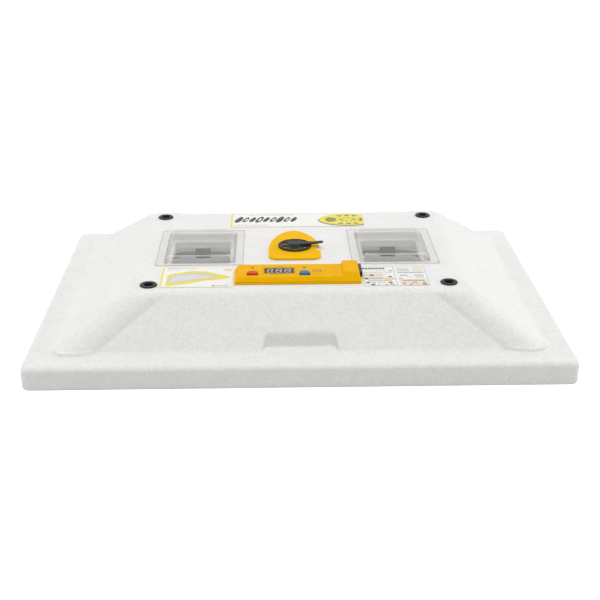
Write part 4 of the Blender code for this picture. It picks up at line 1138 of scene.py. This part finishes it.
def dial_field(x, y, z):
    """A disc with six openings round a low hub, and the arm that leaves it towards +X."""
    disc_radius, well_radius, hub_radius, bore_radius = 0.0257, 0.0238, 0.0104, 0.0053
    disc_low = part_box("turner_dial")[0].z
    disc_top = disc_low + 0.003
    px, py = x - TURNER[0], y - TURNER[1]
    radius = np.hypot(px, py)
    disc = cut_by(cut_by(radius - disc_radius, z - disc_top, 0.0007), disc_low - z, 0.0002)
    well = cut_by(radius - well_radius, disc_top - 0.0007 - z)
    disc = cut_by(disc, -well, 0.0004)
    hub = cut_by(radius - hub_radius + 0.35 * (z - disc_top), z - disc_top - 0.0031, 0.0012)
    hub = np.maximum(hub, disc_low - z)
    body = joined(disc, hub, 0.0010)
    turn = np.arctan2(py, px)
    sector = math.pi / 3
    folded = np.mod(turn, sector) - sector / 2
    u, v = radius * np.cos(folded), np.abs(radius * np.sin(folded))
    petal = cut_by(np.abs(u - 0.0170) - 0.0041, v - 0.0016 - 0.13 * u, 0.0012)
    body = cut_by(body, -petal, 0.0003)

    arm_start, tip_start, arm_end = 0.004, 0.0405, 0.0442
    reach = np.clip((px - arm_start) / (arm_end - arm_start), 0.0, 1.0)
    width = 0.0058 - 0.0026 * reach
    middle = 0.1095 + 0.0030 * reach**1.6
    thick = 0.0017 - 0.0005 * reach
    arm = cut_by(np.abs(py) - width, np.abs(z - middle) - thick, 0.0011)
    tip = np.hypot(np.maximum(px - tip_start, 0.0), py) - 0.0034
    ends = np.maximum(np.where(px > tip_start, tip, -0.002), 0.006 - px)
    arm = cut_by(arm, ends, 0.0008)
    body = joined(body, arm, 0.0012)
    bore = cut_by(radius - bore_radius, z - disc_top - 0.0016)
    return cut_by(body, -bore)


# -------- under the lid
def smooth_route(points, spacing):
    """Points at nearly equal spacing on a Catmull-Rom curve through the given points."""
    path = [Vector(p) for p in points]
    path = [2 * path[0] - path[1], *path, 2 * path[-1] - path[-2]]
    route = []
    for p0, p1, p2, p3 in zip(path, path[1:], path[2:], path[3:]):
        count = max(2, round((p2 - p1).length / spacing))
        for step in range(count):
            t = step / count
            linear, square = (p2 - p0) * t, (2 * p0 - 5 * p1 + 4 * p2 - p3) * t**2
            cube = (3 * p1 - p0 - 3 * p2 + p3) * t**3
            route.append(0.5 * (2 * p1 + linear + square + cube))
    route.append(path[-2])
    return route


def tube_piece(name, route, radius, sides):
    """A round bar along a route, with closed ends."""
    shape = bmesh.new()
    rings = []
    for i, point in enumerate(route):
        ahead = route[min(i + 1, len(route) - 1)] - route[max(i - 1, 0)]
        turn = ahead.to_track_quat("Z", "Y").to_matrix().to_4x4()
        place = Matrix.Translation(point) @ turn
        rings.append([shape.verts.new(place @ Vector((x, y, 0.0))) for x, y in circle(radius, steps=sides)])
    shape.faces.new(rings[0])
    shape.faces.new(rings[-1])
    for low, high in zip(rings, rings[1:]):
        shift = min(range(sides), key=lambda k: (high[k].co - low[0].co).length)
        for i in range(sides):
            j = (i + 1) % sides
            shape.faces.new((low[i], low[j], high[(j + shift) % sides], high[(i + shift) % sides]))
    return piece_of(name, shape, 50)


def heater_route():
    """A loop round both windows, whose ends turn forward near the control unit."""
    low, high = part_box("heater_tube")
    radius = 0.004
    half_x, half_y = high.x - radius, high.y - radius
    level = (low.z + high.z) / 2
    bend_radius, turn_in, end_x, end_y = 0.030, 0.012, 0.020, low.y
    points = [(end_x, end_y), (end_x, -half_y - turn_in - 0.004), (end_x, -half_y - turn_in)]
    centre = (end_x + turn_in, -half_y - turn_in)
    for degrees in range(165, 89, -15):
        angle = math.radians(degrees)
        points.append((centre[0] + turn_in * math.cos(angle), centre[1] + turn_in * math.sin(angle)))
    for corner_y, start in ((-half_y + bend_radius, -90), (half_y - bend_radius, 0)):
        for step in range(13):
            angle = math.radians(start + 7.5 * step)
            x = half_x - bend_radius + bend_radius * math.cos(angle)
            points.append((x, corner_y + bend_radius * math.sin(angle)))
    points += [(-x, y) for x, y in reversed(points)]
    return [Vector((x, y, level)) for x, y in points]


def make_wire(name, route, node):
    wire = tube_piece(name, smooth_route(route, 0.0014), 0.0011, 14)
    hand_over(wire, "lid", "cable_grey", "cable", node)


def make_underside():
    heater = tube_piece("heater_element", heater_route(), 0.004, 20)
    hand_over(heater, "lid", "heater_steel", "heater", "heater_tube")
    low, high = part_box("heater_tube")
    level = (low.z + high.z) / 2
    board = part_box("circuit_board")[0].z - 0.0008
    for name, side in (("left", -1), ("right", 1)):
        start_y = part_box(f"heater_terminal_{name}")[0].y - GAP
        lead = [(0.0200, start_y, level), (0.0196, -0.1260, level), (0.0150, -0.1312, 0.0645)]
        lead += [(0.0070, -0.1300, 0.0690), (0.0030, -0.1255, 0.0745), (0.0028, -0.1248, 0.0820)]
        lead += [(0.0028, -0.1248, board)]
        lead = [(side * x, y, z) for x, y, z in lead]
        make_wire(f"heater_wire_{name}", lead, f"heater_lead_{name}")
    low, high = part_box("temperature_probe")
    x, z = (low.x + high.x) / 2, (low.z + high.z) / 2
    cable = [(0.0, -0.1205, board), (0.0, -0.1205, 0.0790), (0.0008, -0.1185, 0.0741)]
    cable += [(0.0045, -0.1100, 0.0727), (0.0150, -0.0930, 0.0732), (0.0280, -0.0780, 0.0722)]
    cable += [(x - 0.0005, -0.0700, 0.0704), (x, low.y - GAP, z)]
    make_wire("probe_wire", cable, "probe_cable")


# -------- nodes that keep their solids
BRACKETS = ("front_left", "front_right", "back_left", "back_right", "end_left", "end_right")
KEPT_NODES = (  # node, material, width of its round edges, segments in them
    ("inner_pane_left", "clear_inner", 0.0005, 2),
    ("inner_pane_right", "clear_inner", 0.0005, 2),
    ("mains_inlet", "fitting", 0.0003, 2),
    ("display_module", "fitting", 0, 0),
    ("circuit_board", "board", 0, 0),
    ("red_switch", "fitting", 0, 0),
    ("blue_switch", "fitting", 0, 0),
    ("power_transformer", "fitting", 0, 0),
    ("turner_shaft", "zinc", 0.0005, 3),
    ("crank_arm", "zinc", 0.0006, 3),
    ("crank_nut", "zinc", 0.0004, 3),
    ("turner_washer", "zinc", 0.0002, 3),
    ("turner_bush", "black", 0.0004, 3),
    ("heater_terminal_left", "ceramic", 0.0008, 3),
    ("heater_terminal_right", "ceramic", 0.0008, 3),
    ("temperature_probe", "probe", 0.0006, 3),
    ("clamp_plate", "fitting", 0.0006, 3),
    ("probe_clip", "fitting", 0.0006, 3),
    *((f"heater_bracket_{place}", "fitting", 0.0006, 3) for place in BRACKETS),
    *((f"clamp_screw_{number}", "zinc", 0.0002, 2) for number in range(1, 5)),
)


def finish_kept_nodes():
    for node, coat, width, segments in KEPT_NODES:
        finish_node(node, COATS[coat], width, segments)


# -------- light, floor and camera
def soft_light(name, azimuth, elevation, spread, strength):
    """A far softbox: a direction, the angle that it spans, and its irradiance facing it."""
    lamp = bpy.data.lights.new(name, "SUN")
    lamp.angle = math.radians(spread)
    lamp.energy = strength * math.pi
    obj = bpy.data.objects.new(name, lamp)
    around, up = math.radians(azimuth), math.radians(elevation)
    towards = Vector((math.cos(up) * math.cos(around), math.cos(up) * math.sin(around), math.sin(up)))
    obj.location = 3.0 * towards
    obj.rotation_euler = towards.to_track_quat("Z", "Y").to_euler()
    bpy.context.scene.collection.objects.link(obj)


SOFT_LIGHTS = (  # name, azimuth, elevation and spread in degrees, strength
    ("top_light", -90.0, 78.0, 60.0, 0.63),
    ("front_light", -90.0, 15.0, 50.0, 0.09),
    ("left_light", 165.0, 9.0, 35.0, 0.33),
    ("right_light", 15.0, 9.0, 35.0, 0.43),
)


def make_floor():
    """A white floor: it glows where the camera sees it, and faintly under the lid."""
    shape = bmesh.new()
    corners = ((-1, -1), (1, -1), (1, 1), (-1, 1))
    shape.faces.new([shape.verts.new((FLOOR_HALF * x, FLOOR_HALF * y, 0.0)) for x, y in corners])
    floor = piece_of("studio_floor", shape)
    floor.location.z = -FLOOR_DROP
    coat = Coat("studio_floor", 0.7, gloss=0.1)
    coat.set("Base Color", (0.75, 0.75, 0.75, 1.0))
    coat.set("Emission Color", (1.0, 1.0, 1.0, 1.0))
    glow = coat.ranged(coat.node("ShaderNodeLightPath").outputs["Is Camera Ray"], 0.0, 0.9, 0.0, 1.0)
    place = coat.node("ShaderNodeSeparateXYZ", {"Vector": coat.place}).outputs
    across, along = (
        coat.ranged(coat.math("ABSOLUTE", place[axis]), 0.0, 1.0, half - 0.008, half - 0.004)
        for axis, half in zip("XY", RIM_HALF)
    )
    outside = coat.math("MAXIMUM", across, along)
    inside_glow = coat.ranged(outside, FLOOR_INSIDE, 0.0, 0.0, 1.0)
    coat.feed(emission_strength=coat.math("ADD", coat.math("MULTIPLY", glow, outside), inside_glow))
    below = coat.node("ShaderNodeBsdfTransparent").outputs["BSDF"]
    underside = coat.node("ShaderNodeNewGeometry").outputs["Backfacing"]
    coat.blend(underside, coat.shader.outputs["BSDF"], below)
    floor.data.materials.append(coat.made)


def make_stage():
    scene = bpy.context.scene
    scene.view_settings.view_transform = "Standard"
    world = bpy.data.worlds.new("studio")
    world.use_nodes = True
    tree = world.node_tree
    background = tree.nodes["Background"]
    background.inputs["Color"].default_value = (1.0, 0.995, 0.985, 1.0)
    place = add_node(tree, "ShaderNodeTexCoord", {}).outputs["Generated"]
    direction = add_node(tree, "ShaderNodeSeparateXYZ", {"Vector": place}).outputs
    limits = {"From Min": WALL_START, "From Max": WALL_FULL}
    limits |= {"To Min": WORLD_LIGHT, "To Max": WALL_LIGHT}
    limits["Value"] = direction["Y"]  # brighter behind the object
    wall = add_node(tree, "ShaderNodeMapRange", limits, interpolation_type="SMOOTHSTEP")
    tree.links.new(wall.outputs["Result"], background.inputs["Strength"])
    scene.world = world

    for name, *light in SOFT_LIGHTS:
        soft_light(name, *light)
    make_floor()

    camera = bpy.data.objects.new("camera", bpy.data.cameras.new("camera"))
    camera.location = (-0.0388, -1.6780, 0.7054)
    pitch, yaw = 22.378, 1.500
    camera.rotation_euler = (math.radians(90 - pitch), 0.0, math.radians(-yaw))
    camera.data.lens = 69.0
    camera.data.sensor_width = 36.0
    scene.collection.objects.link(camera)
    scene.camera = camera


make_foam()
make_windows()
make_vents()
make_control_unit()
make_display()
print_cover()
print_back_label()
print_chart_label()
print_table_label()
make_turner()
make_underside()
finish_kept_nodes()
make_stage()
